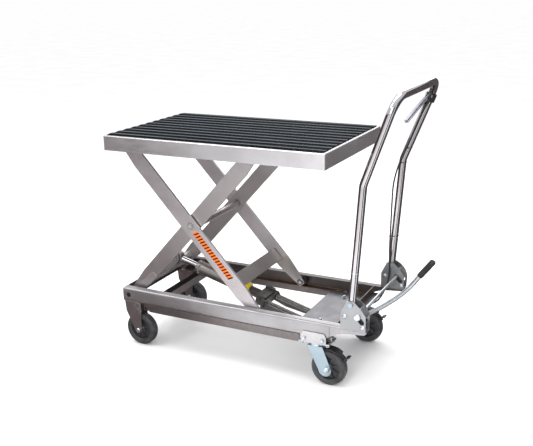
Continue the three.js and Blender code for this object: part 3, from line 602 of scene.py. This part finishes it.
def smooth_route(points, per_span):
    """Catmull-Rom curve through the points."""
    ends = [points[0] * 2 - points[1]] + list(points) + [points[-1] * 2 - points[-2]]
    result = []
    for a, b, c, d in zip(ends, ends[1:], ends[2:], ends[3:]):
        for i in range(per_span):
            t = i / per_span
            square, cube = 2 * a - 5 * b + 4 * c - d, 3 * b - a - 3 * c + d
            result.append(0.5 * (2 * b + (c - a) * t + square * t * t + cube * t ** 3))
    return result + [points[-1]]


def rounded_route(corners, radii, steps):
    """Straight runs joined by round bends; corners and radii in mm of the cart's frame."""
    corners = [at(*c) for c in corners]
    result = [corners[0]]
    for i in range(1, len(corners) - 1):
        into = (corners[i] - corners[i - 1]).normalized()
        out = (corners[i + 1] - corners[i]).normalized()
        turn = into.angle(out)
        radius = radii[i - 1] * MM
        cut = radius * math.tan(turn / 2)
        pull = 4 / 3 * math.tan(turn / 4) * radius
        a, d = corners[i] - into * cut, corners[i] + out * cut
        b, c = a + into * pull, d - out * pull
        for k in range(steps + 1):
            t = k / steps
            u = 1 - t
            result.append(a * u ** 3 + b * 3 * u * u * t + c * 3 * u * t * t + d * t ** 3)
    return result + [corners[-1]]


def hexagon(name, point, axis, across, height, body, material=ZINC, washer=0.0):
    """A bolt head or nut with a chamfered crown, on a washer if it has one."""
    r = across / math.sqrt(3)
    base = point
    if washer:
        rim, thick = washer - 0.4, 1.6
        ring = [(0, 0), (rim, 0), (washer, 0.4), (washer, thick - 0.4), (rim, thick), (0, thick)]
        turned(f"{name}_washer", ring, point, axis, body, ZINC, segments=32)
        base = point + Vector(axis).normalized() * (thick * MM)
    crown = height * 0.9
    profile = [
        (0, 0), (r, 0), (r, height * 0.82), (r * 0.88, height), (r * 0.5, height), (r * 0.45, crown),
        (0, crown),
    ]
    return bevel(turned(name, profile, base, axis, body, material, segments=6, angle=25), 0.35)


def weld(name, start, end, radius, body):
    """A rippled fillet bead from start to end, in mm of the cart's frame."""
    a, b = at(*start), at(*end)
    count = max(6, int((b - a).length / MM / WELD_RIPPLE) * 4)
    points, radii = [], []
    for i in range(count + 1):
        t = i / count
        points.append(a.lerp(b, t))
        ripple = 0.82 + 0.18 * abs(math.sin(math.pi * i / 4)) + 0.06 * math.sin(i * 2.1)
        taper = min(1.0, 6 * t + 0.35, 6 * (1 - t) + 0.35)
        radii.append(radius * MM * ripple * taper)
    return piece(name, sweep(name, points, radii, 8, angle=80), body, WELD)


def round_weld(name, centre, radius, bead, body):
    """A rippled bead round a tube that runs along Y."""
    steps = 64
    points, radii = [], []
    for i in range(steps + 1):
        a = 2 * math.pi * i / steps
        points.append(at(centre[0] + radius * math.cos(a), centre[1], centre[2] + radius * math.sin(a)))
        radii.append(bead * MM * (0.85 + 0.15 * abs(math.sin(i * 0.8))))
    return piece(name, sweep(name, points, radii, 6, angle=80), body, WELD)


# ---- platform ----
def platform():
    """The folded pan: a box with round corners and no bottom, as thick as its sheet."""
    low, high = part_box("table_pan")
    work = bmesh.new()
    bmesh.ops.create_cube(work, size=1.0)
    size, middle = Vector(high) - Vector(low), (Vector(high) + Vector(low)) / 2
    for vert in work.verts:
        vert.co = Vector((vert.co[i] * size[i] + middle[i] for i in range(3)))
    bottom = [f for f in work.faces if f.normal.z < -0.5]
    bmesh.ops.delete(work, geom=bottom, context="FACES_ONLY")
    corners = [e for e in work.edges if len(e.link_faces) == 2]
    bmesh.ops.bevel(
        work, geom=corners, offset=4 * MM, segments=5, profile=0.5, affect="EDGES", clamp_overlap=True,
    )
    pan = piece("pan_skin", finished(work, "pan", 40), "table", TABLE_POWDER, "table_pan", slot="powder_coat")
    sheet = pan.modifiers.new("sheet", "SOLIDIFY")
    sheet.thickness = 2.5 * MM
    sheet.offset = -1
    bevel(pan, 0.5, 2, 60)


def ribbed_mat():
    low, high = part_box("table_mat")
    ribs = 11
    pitch = (high[1] - low[1]) / ribs
    base, top = low[2] + 2.0 * MM, high[2]
    steps = 7
    outline = []
    for i in range(ribs):
        start = low[1] + i * pitch
        for k in range(steps + 1):  # a rounded shoulder up, a crowned top, a rounded shoulder down
            t = k / steps
            rise = math.sin(math.pi * t) ** 0.35 if 0 < t < 1 else 0.0
            outline.append((start + pitch * (0.16 + 0.68 * t), base + (top - base) * rise))
    profile = [(low[1], low[2]), (low[1], base)] + outline + [(high[1], base), (high[1], low[2])]
    spans = 24
    points = []
    for i in range(spans + 1):
        x = low[0] + (high[0] - low[0]) * i / spans
        points += [(x, y, z) for y, z in profile]
    n = len(profile)
    ends = [tuple(range(n)), tuple(range(spans * n, (spans + 1) * n))]
    mesh = new_mesh("mat", points, strips(spans, n) + ends, 40)
    rubber = mat_rubber("mat_rubber", pitch, -low[1])
    piece("mat_skin", mesh, "table", rubber, "table_mat", slot="deck_rubber")


# ---- wheels and casters ----
def wheel(label, x, y, node):
    """A tyre on a moulded hub with eight ribs."""
    centre = at(x, y, WHEEL_R)
    edge = -WHEEL_HALF
    tread = [
        (43.5, edge + 2), (46, edge + 0.4), (50, edge), (54.5, edge + 0.9), (57.8, edge + 3.4),
        (59.4, edge + 7), (59.8, edge + 11),
    ]
    turned(
        f"{label}_tyre", mirrored(tread), centre, ALONG_Y, node, TYRE, node,
        slot="tyre", segments=96, angle=40,
    )
    rim = [(38.5, edge + 3.5), (40, edge + 1.5), (43.4, edge + 1.5)]
    web = [(16, -3), (39, -3)]
    hub = [(6.6, edge + 1.2), (13, edge + 1.2), (15.5, edge + 3), (17.5, -4)]
    for name, half, segments in (("rim", rim, 96), ("web", web, 64), ("hub", hub, 48)):
        turned(f"{label}_{name}", mirrored(half), centre, ALONG_Y, node, HUB_PLASTIC, segments=segments)
    ribs = 8
    work = bmesh.new()
    for i in range(ribs):
        turn = Matrix.Rotation(2 * math.pi * (i + 0.5) / ribs, 4, "Y")
        rib = bmesh.ops.create_cube(work, size=1.0)["verts"]
        for vert in rib:
            taper = 1.0 if vert.co.x < 0 else 0.72
            local = Vector((27.5 + vert.co.x * 25, vert.co.y * 22 * taper, vert.co.z * 3.2))
            vert.co = centre + (turn @ local) * MM
    bevel(piece(f"{label}_ribs", finished(work, "ribs"), node, HUB_PLASTIC), 0.6)


def wheels():
    cap = [(0, 0), (8.6, 0), (8.6, 1.2), (6.8, 3.4), (3.6, 4.4), (0, 4.6)]
    race = [
        (17, 0), (24.6, 0), (25, 0.6), (25, 3.4), (24.4, 4.2), (24.4, 5.4), (25, 6.2), (25, 8.8), (24.6, 9.4),
        (17, 9.4),
    ]
    for side, sign in SIDES:
        axles = (("fixed", FIXED_WHEEL, "base"), ("caster", CASTER_WHEEL, f"caster_{side}"))
        for name, (x, y), body in axles:
            wheel(f"{name}_{side}", x, sign * y, f"{name}_wheel_{side}")
            for turn in (-1, 1):
                end = "outer" if turn == sign else "inner"
                spot = at(x, sign * y + turn * AXLE_END, WHEEL_R)
                cap_name = f"{name}_axle_cap_{side}_{end}"
                turned(cap_name, cap, spot, (0, turn, 0), body, BRIGHT_ZINC, segments=36)
        rounded(f"fixed_fork_{side}", FORK_POWDER, 0.8)
        rounded(f"caster_fork_{side}", ZINC, 0.9)
        rounded(f"caster_plate_{side}", TABLE_POWDER, 1.0)
        rounded(f"caster_brake_{side}", BLACK_PLASTIC, 0.5)
        foot = at(CASTER_PIVOT_X, sign * CASTER_WHEEL[1], RACE_FOOT)
        turned(f"caster_{side}_race", race, foot, UP, f"caster_{side}", BRIGHT_ZINC, segments=64)
        for i, (x, y) in enumerate((x, y) for x in PLATE_BOLTS_X for y in PLATE_BOLTS_Y):
            spot = at(x, sign * y, PLATE_UNDERSIDE)
            hexagon(f"caster_{side}_nut_{i}", spot, DOWN, 11, 5, "base", ZINC, 7.5)
        for i, x in enumerate(PLATE_BOLTS_X):
            spot = at(x, sign * PLATE_BOLTS_Y[0], PLATE_TOP)
            hexagon(f"caster_{side}_bolt_{i}", spot, UP, 11, 5, "base", ZINC)


# ---- base frame ----
def base_frame():
    rounded("rail_near", POWDER, 0.7)
    rounded("rail_far", FAR_RAIL_POWDER, 0.7)
    for side, _ in SIDES:
        rounded(f"side_bar_{side}", DARK_POWDER, 1.0)
        rounded(f"handle_bracket_{side}", BRACKET_ZINC, 0.9)
        rounded(f"handle_bolt_{side}", ZINC, 0.5)
    for node in ("front_cross_member", "middle_cross_member", "end_cross_member", "ram_anchor"):
        rounded(node, DARK_POWDER, 0.9)
    rounded("deck_plate", DECK_POWDER, 0.8)
    rounded("base_pivot_shaft", HOLE_SHADE, 0.6)
    # Near-black discs at the shaft ends: painted shade of their hollows.
    plug = mirrored([(0, -1), (9.4, -1)])
    for side, sign in SIDES:
        end = at(PIVOT[0], sign * SHAFT_END, PIVOT[1])
        turned(f"shaft_end_shade_{side}", plug, end, (0, sign, 0), "base", HOLE_SHADE)
    rounded("ram_pivot_pin", ZINC, 0.6)
    for name, y in (("deck_bolt", DECK_BOLT[1]), ("deck_bolt_near", -DECK_BOLT[1])):
        hexagon(name, at(DECK_BOLT[0], y, DECK_TOP), UP, 10, 6.5, "base", ZINC, 8)
    base_fixings()


def base_fixings():
    """Welds, rivets and bolts of the base, the same on both sides but for the handle brackets."""
    dome = [(0, -0.6), (7.2, -0.6), (7.2, 0.8), (5.6, 2.6), (3, 3.6), (0, 3.9)]
    deck_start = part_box("deck_plate")[0][0] / MM + CART_MIDDLE
    seams = (  # name, y, start and end as (x, z), bead radius
        ("deck_weld_{}_0", DECK_EDGE, (deck_start + 18, DECK_TOP - 1), (deck_start + 31, DECK_TOP - 1), 2.2),
        ("deck_weld_{}_1", DECK_EDGE, (deck_start + 46, DECK_TOP - 1), (deck_start + 59, DECK_TOP - 1), 2.2),
        ("end_member_weld_{}", 175.6, (413.5, 192), (413.5, 215), 1.8),
        ("fork_weld_{}", 197, (-396, 167), (-338, 167), 2.0),
        ("caster_lug_weld_{}", 204.6, (309, 184), (380, 184), 2.0),
        ("tail_weld_{}", 203, (398, 170), (398, 214), 1.5),
    )
    for side, sign in SIDES:
        for name, y, start, end, bead in seams:
            ends = [(x, sign * y, z) for x, z in (start, end)]
            weld(name.format(side), *ends, bead, "base")
        *seats, rivets = BRACKET_FACES[side]
        for i, y in enumerate(seats):
            weld(f"bracket_weld_{side}_{i}", (446, y, BRACKET_SEAT), (512, y, BRACKET_SEAT), 1.8, "base")
        for i, (x, z) in enumerate(((453, 262), (512, 232))):
            name = f"bracket_rivet_{side}_{i}"
            turned(name, dome, at(x, rivets, z), TOWARDS_NEAR, "base", BRIGHT_ZINC, segments=32)
        for i, x in enumerate((313, 376)):
            spot = at(x, sign * LUG_FACE, 161)
            hexagon(f"caster_lug_bolt_{side}_{i}", spot, (0, sign, 0), 9, 4.5, "base", BRIGHT_ZINC, 6.5)


# ---- scissor ----
def inner_point(length, y, across=0.0):
    """A point on an inner arm: length from the base pivot, across square to it upwards."""
    x = PIVOT[0] + length * math.cos(REST_ANGLE) - across * math.sin(REST_ANGLE)
    return (x, y, PIVOT[1] + length * math.sin(REST_ANGLE) + across * math.cos(REST_ANGLE))


def outer_point(length, y, across=0.0):
    """A point on an outer arm: length from the table pivot, across square to it upwards."""
    x = PIVOT[0] + length * math.cos(REST_ANGLE) + across * math.sin(REST_ANGLE)
    return (x, y, TABLE_PIVOT_Z - length * math.sin(REST_ANGLE) + across * math.cos(REST_ANGLE))


def hazard_strip():
    """A generic slanted two-colour strip, lower down the near outer arm, as thin film tiles."""
    (start, end), half, bands = STRIP, 10, 34
    step = (end - start) / bands
    slant = step * 1.1
    face = -OUTER_ARM_FACE - 0.25
    for first, name, film in ((0, "hazard_strip_orange", ORANGE_FILM), (1, "hazard_strip_dark", MAROON_FILM)):
        points, faces = [], []
        for i in range(first, bands, 2):
            a = start + i * step
            corners = [(a, -half), (a + step, -half), (a + step + slant, half), (a + slant, half)]
            base = len(points)
            for y in (face, face + 0.3):
                points += [at(*outer_point(length - slant / 2, y, across)) for length, across in corners]
            faces += [(base, base + 1, base + 2, base + 3), (base + 7, base + 6, base + 5, base + 4)]
            faces += [(base + k, base + 4 + k, base + 4 + (k + 1) % 4, base + (k + 1) % 4) for k in range(4)]
        piece(name, new_mesh(name, points, faces), "outer_frame", film)


def foot_plate(side, sign):
    """The plate welded over an inner arm's foot."""
    name = f"foot_plate_{side}"
    outline = [(22, -18), (116, -25), (119, -22), (119, -5), (116, -2), (22, 10)]
    points = [at(*inner_point(a, sign * y, b)) for y in (161.4, 162.1) for a, b in outline]
    n = len(outline)
    faces = [tuple(range(n)), tuple(range(n, 2 * n))] + strips(1, n)
    bevel(piece(name, new_mesh(name, points, faces), "inner_frame", OUTER_POWDER), 0.3)
    for i, seam in enumerate((((24, 11), (112, -0.5)), ((119.5, -3), (119.5, -24)))):
        ends = [inner_point(a, sign * INNER_ARM_FACE, b) for a, b in seam]
        weld(f"foot_weld_{side}_{i}", *ends, 2.0, "inner_frame")


def pins_and_studs(side, sign):
    """What shows at the arms' pins: the base roller stud's head, the staking marks on the centre pin."""
    head = at(*outer_point(ARM_LENGTH, sign * STUD_HEAD_FACE))
    # The dark steel ring round the zinc cap is painted shade for the groove round the stud head.
    ring = [(7, 0.45), (10.6, 0.45), (10.6, -1), (7, -1)]
    cap = [(0, 0.6), (5.6, 0.6), (7, 0.3), (7, -1), (0, -1)]
    turned(f"stud_groove_shade_{side}", ring, head, (0, -sign, 0), "outer_frame", DARK_STEEL, segments=36)
    turned(f"stud_cap_{side}", cap, head, (0, -sign, 0), "outer_frame", BRIGHT_ZINC, segments=36)
    dimple = [(0, 0.25), (1.2, 0.2), (1.9, 0.45), (2.4, 0.0), (0, 0)]
    x, y, z = outer_point(ARM_LENGTH / 2, sign * PIN_END)
    for i in range(3):
        a = math.radians(90 + 120 * i)
        spot = at(x + 4.2 * math.cos(a), y, z + 4.2 * math.sin(a))
        turned(f"pin_mark_{side}_{i}", dimple, spot, (0, sign, 0), "outer_frame", BRIGHT_ZINC, segments=20)


def scissor():
    roller = mirrored([(8.4, -8), (17.6, -8), (19, -7)])
    for side, sign in SIDES:
        rounded(f"inner_arm_{side}", ARM_POWDER, 1.4, 3)
        foot_plate(side, sign)
        rounded(f"outer_arm_{side}", OUTER_POWDER, 1.4, 3)
        rounded(f"centre_pin_{side}", ARM_POWDER, 0.6)
        pins_and_studs(side, sign)
        for name, point in (("table_roller", inner_point), ("base_roller", outer_point)):
            node = f"{name}_{side}"
            middle = at(*point(ARM_LENGTH, sign * ROLLER_Y))
            turned(f"{node}_skin", roller, middle, ALONG_Y, node, DARK_STEEL, node, slot="dark_steel")
        for name, (along, off), radius, bead in (
            ("cross_tube_weld", CROSS_TUBE, 12.5, 2.0),
            ("ram_tube_weld", RAM_TUBE, 20, 2.2),
        ):
            round_weld(f"{name}_{side}", inner_point(along, sign * 149, off), radius, bead, "inner_frame")
        for i, off in enumerate((-4.5, 4.5)):
            ends = [outer_point(along, sign * OUTER_ARM_INNER_FACE, off) for along in BEAM_WELD]
            weld(f"beam_weld_{side}_{i}", *ends, 2.0, "outer_frame")
    tube = mirrored([(0, -CROSS_TUBE_END), (12.2, -CROSS_TUBE_END), (12.4, 0.6 - CROSS_TUBE_END)])
    middle = at(*inner_point(CROSS_TUBE[0], 0, CROSS_TUBE[1]))
    turned(
        "cross_tube_skin", tube, middle, ALONG_Y, "inner_frame", ARM_POWDER, "centre_cross_tube",
        slot="powder_coat", segments=64,
    )
    rounded("ram_cross_tube", ARM_POWDER, 0.6)
    rounded("cross_beam", FORK_POWDER, 1.2, 3)
    for side, _ in SIDES:
        rounded(f"table_track_{side}", ARM_POWDER, 1.0)
    rounded("table_pivot_shaft", ZINC, 0.6)


# ---- hydraulic ram and pump ----
RAM_AXIS = Vector((-math.cos(RAM_RISE), 0, math.sin(RAM_RISE)))
RAM_UP = Vector((math.sin(RAM_RISE), 0, math.cos(RAM_RISE)))


def on_ram(length, y=0.0, up=0.0):
    """A point by its distance along the ram from the pivot, its y, and its height above the ram's axis."""
    return at(RAM_PIVOT[0], y, RAM_PIVOT[1]) + (RAM_AXIS * length + RAM_UP * up) * MM


def coil(name, start, end, y, up, radius, wire, turns):
    """A spring's wire, wound round a line beside the ram's axis."""
    steps = 14
    points = []
    for i in range(turns * steps + 1):
        t = i / (turns * steps)
        a = 2 * math.pi * i / steps
        points.append(on_ram(start + (end - start) * t, y + radius * math.cos(a), up + radius * math.sin(a)))
    return sweep(name, points, wire * MM, 8, angle=80)


def ram():
    foot = on_ram(0)
    low, high = COLLAR
    barrel = [
        (11.8, high + 45), (11.8, GLAND - 0.5), (12.6, GLAND), (24.4, GLAND), (25.8, GLAND - 1.4),
        (25.8, GLAND - 12.5), (24.6, GLAND - 13.6), (23.4, GLAND - 15.5), (23.4, high + 1.4),
        (22.6, high + 0.4), (11.8, high + 0.4),
    ]
    wiper = [(11.7, GLAND - 1), (11.7, GLAND + 0.1), (15.5, GLAND + 0.1), (17, GLAND - 1)]
    collar = [
        (15, low + 0.3), (22, low + 0.3), (23.5, low + 1.2), (26.3, high - 5), (26.3, high - 1),
        (25.4, high), (15, high),
    ]
    tip = RAM_LENGTH - 20
    rod = [(0, high + 115), (11.3, high + 115), (11.3, tip - 1), (10, tip), (0, tip)]
    eye = mirrored([(17.6, -12.8), (23, -12.8), (24.2, -11.6)])
    turned(
        "barrel_skin", barrel, foot, RAM_AXIS, "ram_unit", RAM_STEEL, "ram_barrel",
        slot="dark_steel", segments=72,
    )
    turned("rod_wiper", wiper, foot, RAM_AXIS, "ram_unit", BLACK_PLASTIC)
    turned(
        "collar_skin", collar, foot, RAM_AXIS, "ram_unit", YELLOW, "ram_collar",
        slot="yellow_ring", segments=64,
    )
    turned("rod_skin", rod, foot, RAM_AXIS, "ram_plunger", CHROME)
    turned(
        "rod_eye", eye, on_ram(RAM_LENGTH), ALONG_Y, "ram_plunger", RAM_STEEL, "ram_rod",
        slot="chrome", segments=64,
    )


def pump():
    rounded("pump_block", PUMP_STEEL, 1.2, 3)
    rounded("pump_frame", PUMP_STEEL, 0.8)
    start, end = SPRING_SPAN
    guide = [(0, start), (4.6, start), (4.6, end), (0, end)]
    for side, sign in SIDES:
        node = f"return_spring_{side}"
        wire = coil(f"{node}_skin", start + 1.5, end - 1.5, sign * SPRING_Y, SPRING_UP, 6.9, 1.5, 30)
        piece(f"{node}_skin", wire, "ram_unit", SPRING_STEEL, node, slot="dark_steel")
        line = on_ram(0, sign * SPRING_Y, SPRING_UP)
        turned(f"spring_guide_{side}", guide, line, RAM_AXIS, "ram_unit", DARK_STEEL, segments=24)
    middle = (BLOCK[0] + BLOCK[1]) / 2
    plug = on_ram(middle + 4, -BLOCK_SIDE, 2)
    hexagon("pump_plug", plug, TOWARDS_NEAR, 11, 4.5, "ram_unit", PUMP_STEEL)
    hexagon("valve_screw", on_ram(middle, 33, 26.9), RAM_UP, 8, 2.5, "ram_unit", PUMP_STEEL)
    # A near-black disc in the port: painted shade of its hollow.
    port = [(0, 0), (3.2, 0), (3.2, 0.4), (4.4, 0.4), (4.4, -2), (0, -2)]
    turned("pump_port", port, on_ram(middle + 4, -12, 19), RAM_UP, "ram_unit", HOLE_SHADE, segments=28)
    for i, (along, up) in enumerate(((BLOCK[0] - 4, -7), (BLOCK[0] - 4, 6), (44, 0))):
        spot = on_ram(along, -CHEEK_FACE, up)
        hexagon(f"cheek_bolt_{i}", spot, TOWARDS_NEAR, 8, 4, "ram_unit", DARK_STEEL)


# ---- foot pedal ----
def pedal():
    rounded("pedal_lever", BRIGHT_ZINC, 0.3)
    route = smooth_route([at(x, 0, z) for x, z in PEDAL_ROUTE], 8)
    piece("pedal_bar", sweep("pedal_bar", route, 7.6 * MM, 28), "pedal", BRIGHT_ZINC)
    start, end = (at(x, 0, z) for x, z in GRIP)
    profile = [(0, 46.5), (7.7, 46.5), (7.7, 0.5), (9.3, 0.5), (9.9, 1.5)]
    rings, first, last = 15, 5.0, 60.0
    pitch = (last - first) / rings
    for i in range(rings):
        z = first + i * pitch
        profile += [(9.3, z), (9.3, z + pitch * 0.3), (10.2, z + pitch * 0.42), (10.2, z + pitch * 0.85)]
    profile += [(10.3, 62), (10.1, 68), (8.6, 71.5), (0, 72.6)]
    turned(
        "grip_skin", profile, start, end - start, "pedal", GRIP_RUBBER, "pedal_grip",
        slot="black_plastic", segments=40, angle=50,
    )


# ---- push handle, lever and cable ----
UPPER_RUN = (HANDLE_TOP[0] - HANDLE_KINK[0], HANDLE_TOP[1] - HANDLE_KINK[1])
UPPER_LEAN = math.atan2(*UPPER_RUN)
UPPER_ACROSS = Vector((math.cos(UPPER_LEAN), 0, -math.sin(UPPER_LEAN)))
UPPER_ALONG = Vector((math.sin(UPPER_LEAN), 0, math.cos(UPPER_LEAN)))
LOWER_RUN = (HANDLE_KINK[0] - HANDLE_FOOT[0], HANDLE_KINK[1] - HANDLE_FOOT[1])


def on_upper(x, y, z):
    """A point in the handle's upper plane: x square to it, z up along it from the kink."""
    offset = UPPER_ACROSS * x + UPPER_ALONG * z + Vector((0, y, 0))
    return at(HANDLE_KINK[0], 0, HANDLE_KINK[1]) + offset * MM


def leg_y(z):
    """How far out the handle's upper leg is, z along it from the kink."""
    return HANDLE_Y + (HANDLE_TOP_Y - HANDLE_Y) * z / math.hypot(*UPPER_RUN)


def on_lower(y, z):
    """A point on the handle's lower leg at the height z."""
    return at(HANDLE_FOOT[0] + (z - HANDLE_FOOT[1]) * LOWER_RUN[0] / LOWER_RUN[1], y, z)


def handle():
    leg = ((HANDLE_FOOT, HANDLE_Y), (HANDLE_KINK, HANDLE_Y), (HANDLE_TOP, HANDLE_TOP_Y))
    corners = [(x, -y, z) for (x, z), y in leg] + [(x, y, z) for (x, z), y in reversed(leg)]
    route = rounded_route(corners, (60, 52, 52, 60), 14)
    mesh = sweep("push_handle_skin", route, HANDLE_R * MM, 40)
    piece("push_handle_skin", mesh, "handle", CHROME, "push_handle", slot="chrome")
    seam = mirrored([(12.45, -0.9), (13.0, -0.6)])
    up_leg = (LOWER_RUN[0], 0, LOWER_RUN[1])
    head = [(0, 0), (10.9, 0), (10.9, 3), (9.8, 4.6), (7.6, 5.5), (0, 5.7)]
    for side, sign in SIDES:
        spot = on_lower(sign * HANDLE_Y, SEAM_Z)
        turned(f"handle_seam_{side}", seam, spot, up_leg, "handle", BRIGHT_ZINC, segments=40)
        spot = at(LOCK_ROD[0], sign * LOCK_HEAD_FACE, LOCK_ROD[1])
        turned(f"lock_head_{side}", head, spot, (0, sign, 0), "locking_rod", BRIGHT_ZINC)
    rod = mirrored([(0, -LOCK_ROD_END), (4.4, -LOCK_ROD_END), (5, -216)])
    middle = at(LOCK_ROD[0], 0, LOCK_ROD[1])
    turned(
        "lock_rod_skin", rod, middle, ALONG_Y, "locking_rod", BRIGHT_ZINC, "lock_rod",
        slot="zinc", segments=32,
    )


def release_lever():
    rounded("lever_perch", BLACK_PLASTIC, 1.0, 3)
    rounded("release_lever", LEVER_ALLOY, 0.7)
    hexagon("lever_bolt", on_upper(8, *LEVER_PIVOT), UPPER_ACROSS, 8, 3.5, "handle")
    hexagon("lever_nut", on_upper(-8, *LEVER_PIVOT), -UPPER_ACROSS, 8, 3.5, "handle")
    spot = on_upper(-16, leg_y(224), CLAMP_BOLT_Z)
    hexagon("clamp_bolt", spot, -UPPER_ACROSS, 6, 3, "handle", DARK_STEEL)


def release_cable():
    route = smooth_route([at(*p) for p in CABLE_UPPER + CABLE_LOWER], 9)
    cable = link_mesh("release_cable", sweep("release_cable", route, CABLE_R * MM, 14), CABLE_SHEATH)
    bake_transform(cable)
    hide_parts("release_cable_upper", "release_cable_lower")
    top, below = (at(*p) for p in CABLE_UPPER[:2])
    down = below - top
    length = down.length / MM + 12
    boot = [(2.8, 2), (5.6, 2), (6.4, 4)]
    for i in range(5):
        z = 4 + i * 3.6
        boot += [(6.4 - i * 0.4, z + 0.6), (5.4 - i * 0.4, z + 1.8), (6.1 - i * 0.4, z + 3.0)]
    boot += [(4.2, 26), (3.6, length), (2.8, length)]
    turned("cable_boot", boot, top, down, "handle", BLACK_PLASTIC, segments=32, angle=50)
    below_kink = at(HANDLE_KINK[0] - 1, HANDLE_Y, HANDLE_KINK[1] - 10)
    for name, z, leg in (
        ("cable_tie_top", 44, on_upper(0, leg_y(44), 44)),
        ("cable_tie_bend", -10, below_kink),
    ):
        height = on_upper(0, leg_y(z), z).z
        strap(name, leg, min(route, key=lambda p: abs(p.z - height)))
    strap("cable_tie_low", on_lower(HANDLE_Y, CABLE_AT_TIE[2]), at(*CABLE_AT_TIE))
    stop = [(2.8, 0), (4.6, 0), (4.6, 9), (3.6, 12), (2.8, 12)]
    turned("cable_ferrule", stop, at(*CABLE_STOP), (1, 0.24, 0), "base", ZINC, segments=24)


def strap(name, leg, cable):
    """A flat tie round the handle leg and the cable beside it, seen from above as a stretched ring."""
    reach = cable - leg
    reach.z = 0
    direction = reach.normalized()
    square = Vector((-direction.y, direction.x, 0))
    points = []
    steps = 20
    for centre, radius, start in ((leg, 13.1 * MM, math.pi / 2), (leg + reach, 3.6 * MM, -math.pi / 2)):
        for i in range(steps + 1):
            a = start + math.pi * i / steps
            points.append(centre + direction * (radius * math.cos(a)) + square * (radius * math.sin(a)))
    points.append(points[0])
    piece(name, sweep(name, points, 1.3 * MM, 8, flat=0.6, angle=80), "handle", BLACK_PLASTIC)


# ---- studio ----
def area_light(name, place, target, size, power):
    data = bpy.data.lights.new(name, "AREA")
    data.shape = "RECTANGLE"
    data.size, data.size_y = size
    data.energy = power
    made = link(name, data)
    made.location = place
    made.rotation_euler = (Vector(target) - Vector(place)).to_track_quat("-Z", "Y").to_euler()


def dark_screen(name, start, end, height, colour):
    """A dark curved screen and floor sheet that only reflections see; it gives bright metal its edges."""
    profile = [(0.35, 0.0015), (3.0, 0.0015), (3.2, 0.12), (3.2, height)]
    steps, rows = 24, len(profile)
    points = []
    for i in range(steps + 1):
        a = math.radians(start + (end - start) * i / steps)
        points += [(r * math.cos(a), r * math.sin(a), z) for r, z in profile]
    mesh = bpy.data.meshes.new(name)
    mesh.from_pydata(points, [], strips(steps, rows, closed=False))
    s = Shader(f"{name}_cloth", metallic=0.0, Specular_IOR_Level=0.0)
    s.colour(s.ramp(s.noise(4, 3), [(0.3, tint(colour, 0.9)), (0.7, tint(colour, 1))]))
    made = link_mesh(name, mesh, s.material)
    made.visible_camera = made.visible_diffuse = made.visible_shadow = False


def studio():
    mesh = bpy.data.meshes.new("floor")
    reach = 400.0
    corners = [(-reach, -reach, 0), (reach, -reach, 0), (reach, reach, 0), (-reach, reach, 0)]
    mesh.from_pydata(corners, [], [(0, 1, 2, 3)])
    link_mesh("floor", mesh, FLOOR)
    dark_screen("right_screen", -16, 88, 1.8, (0.09, 0.08, 0.08))
    dark_screen("narrow_screen", -50, -32, 1.6, (0.06, 0.05, 0.05))
    dark_screen("left_screen", 150, 236, 1.2, (0.085, 0.055, 0.055))
    dark_screen("back_screen", 88, 150, 0.9, (0.3, 0.28, 0.28))
    area_light("key", (0.46, -1.75, 1.15), (0.2, 0, 0.5), (0.5, 1.0), 10)
    area_light("top", (-0.2, 0.2, 3.0), (0, 0, 0.4), (2.4, 1.6), 60)
    area_light("edge", (-1.3, -1.1, 2.5), (0, 0, 0.4), (1.3, 0.9), 20)
    area_light("back", (-0.8, 3.2, 2.0), (0, 0, 0.5), (1.6, 1.2), 18)
    world = bpy.data.worlds.new("studio")
    bpy.context.scene.world = world
    world.use_nodes = True
    tree = world.node_tree
    background = tree.nodes["Background"]
    place = tree.nodes.new("ShaderNodeTexCoord")
    split = tree.nodes.new("ShaderNodeSeparateXYZ")
    tree.links.new(place.outputs["Generated"], split.inputs[0])
    dome = tree.nodes.new("ShaderNodeValToRGB")
    low, high = dome.color_ramp.elements
    low.position, low.color = 0.5, (0.94, 0.94, 0.95, 1)
    high.position, high.color = 0.8, (1.12, 1.12, 1.12, 1)
    tree.links.new(split.outputs["Z"], dome.inputs["Fac"])
    tree.links.new(dome.outputs["Color"], background.inputs["Color"])


def camera():
    """The camera that was fitted to the photograph."""
    bpy.context.scene.view_settings.view_transform = "Standard"
    azimuth, elevation, roll = (math.radians(turn) for turn in CAMERA_TURNS)
    level = math.cos(elevation)
    back = Vector((math.sin(azimuth) * level, -math.cos(azimuth) * level, math.sin(elevation)))
    right = (-back).cross(Vector(UP)).normalized()
    up = right.cross(-back)
    turned_right = right * math.cos(roll) + up * math.sin(roll)
    turned_up = up * math.cos(roll) - right * math.sin(roll)
    columns = (turned_right, turned_up, back, at(*CAMERA_PLACE))
    data = bpy.data.cameras.new("camera")
    data.sensor_width = 36
    data.lens = CAMERA_LENS
    made = link("camera", data)
    made.matrix_world = Matrix([[column[i] for column in columns] for i in range(3)] + [(0, 0, 0, 1)])
    bpy.context.scene.camera = made


platform()
ribbed_mat()
wheels()
base_frame()
scissor()
hazard_strip()
ram()
pump()
pedal()
handle()
release_lever()
release_cable()
studio()
camera()
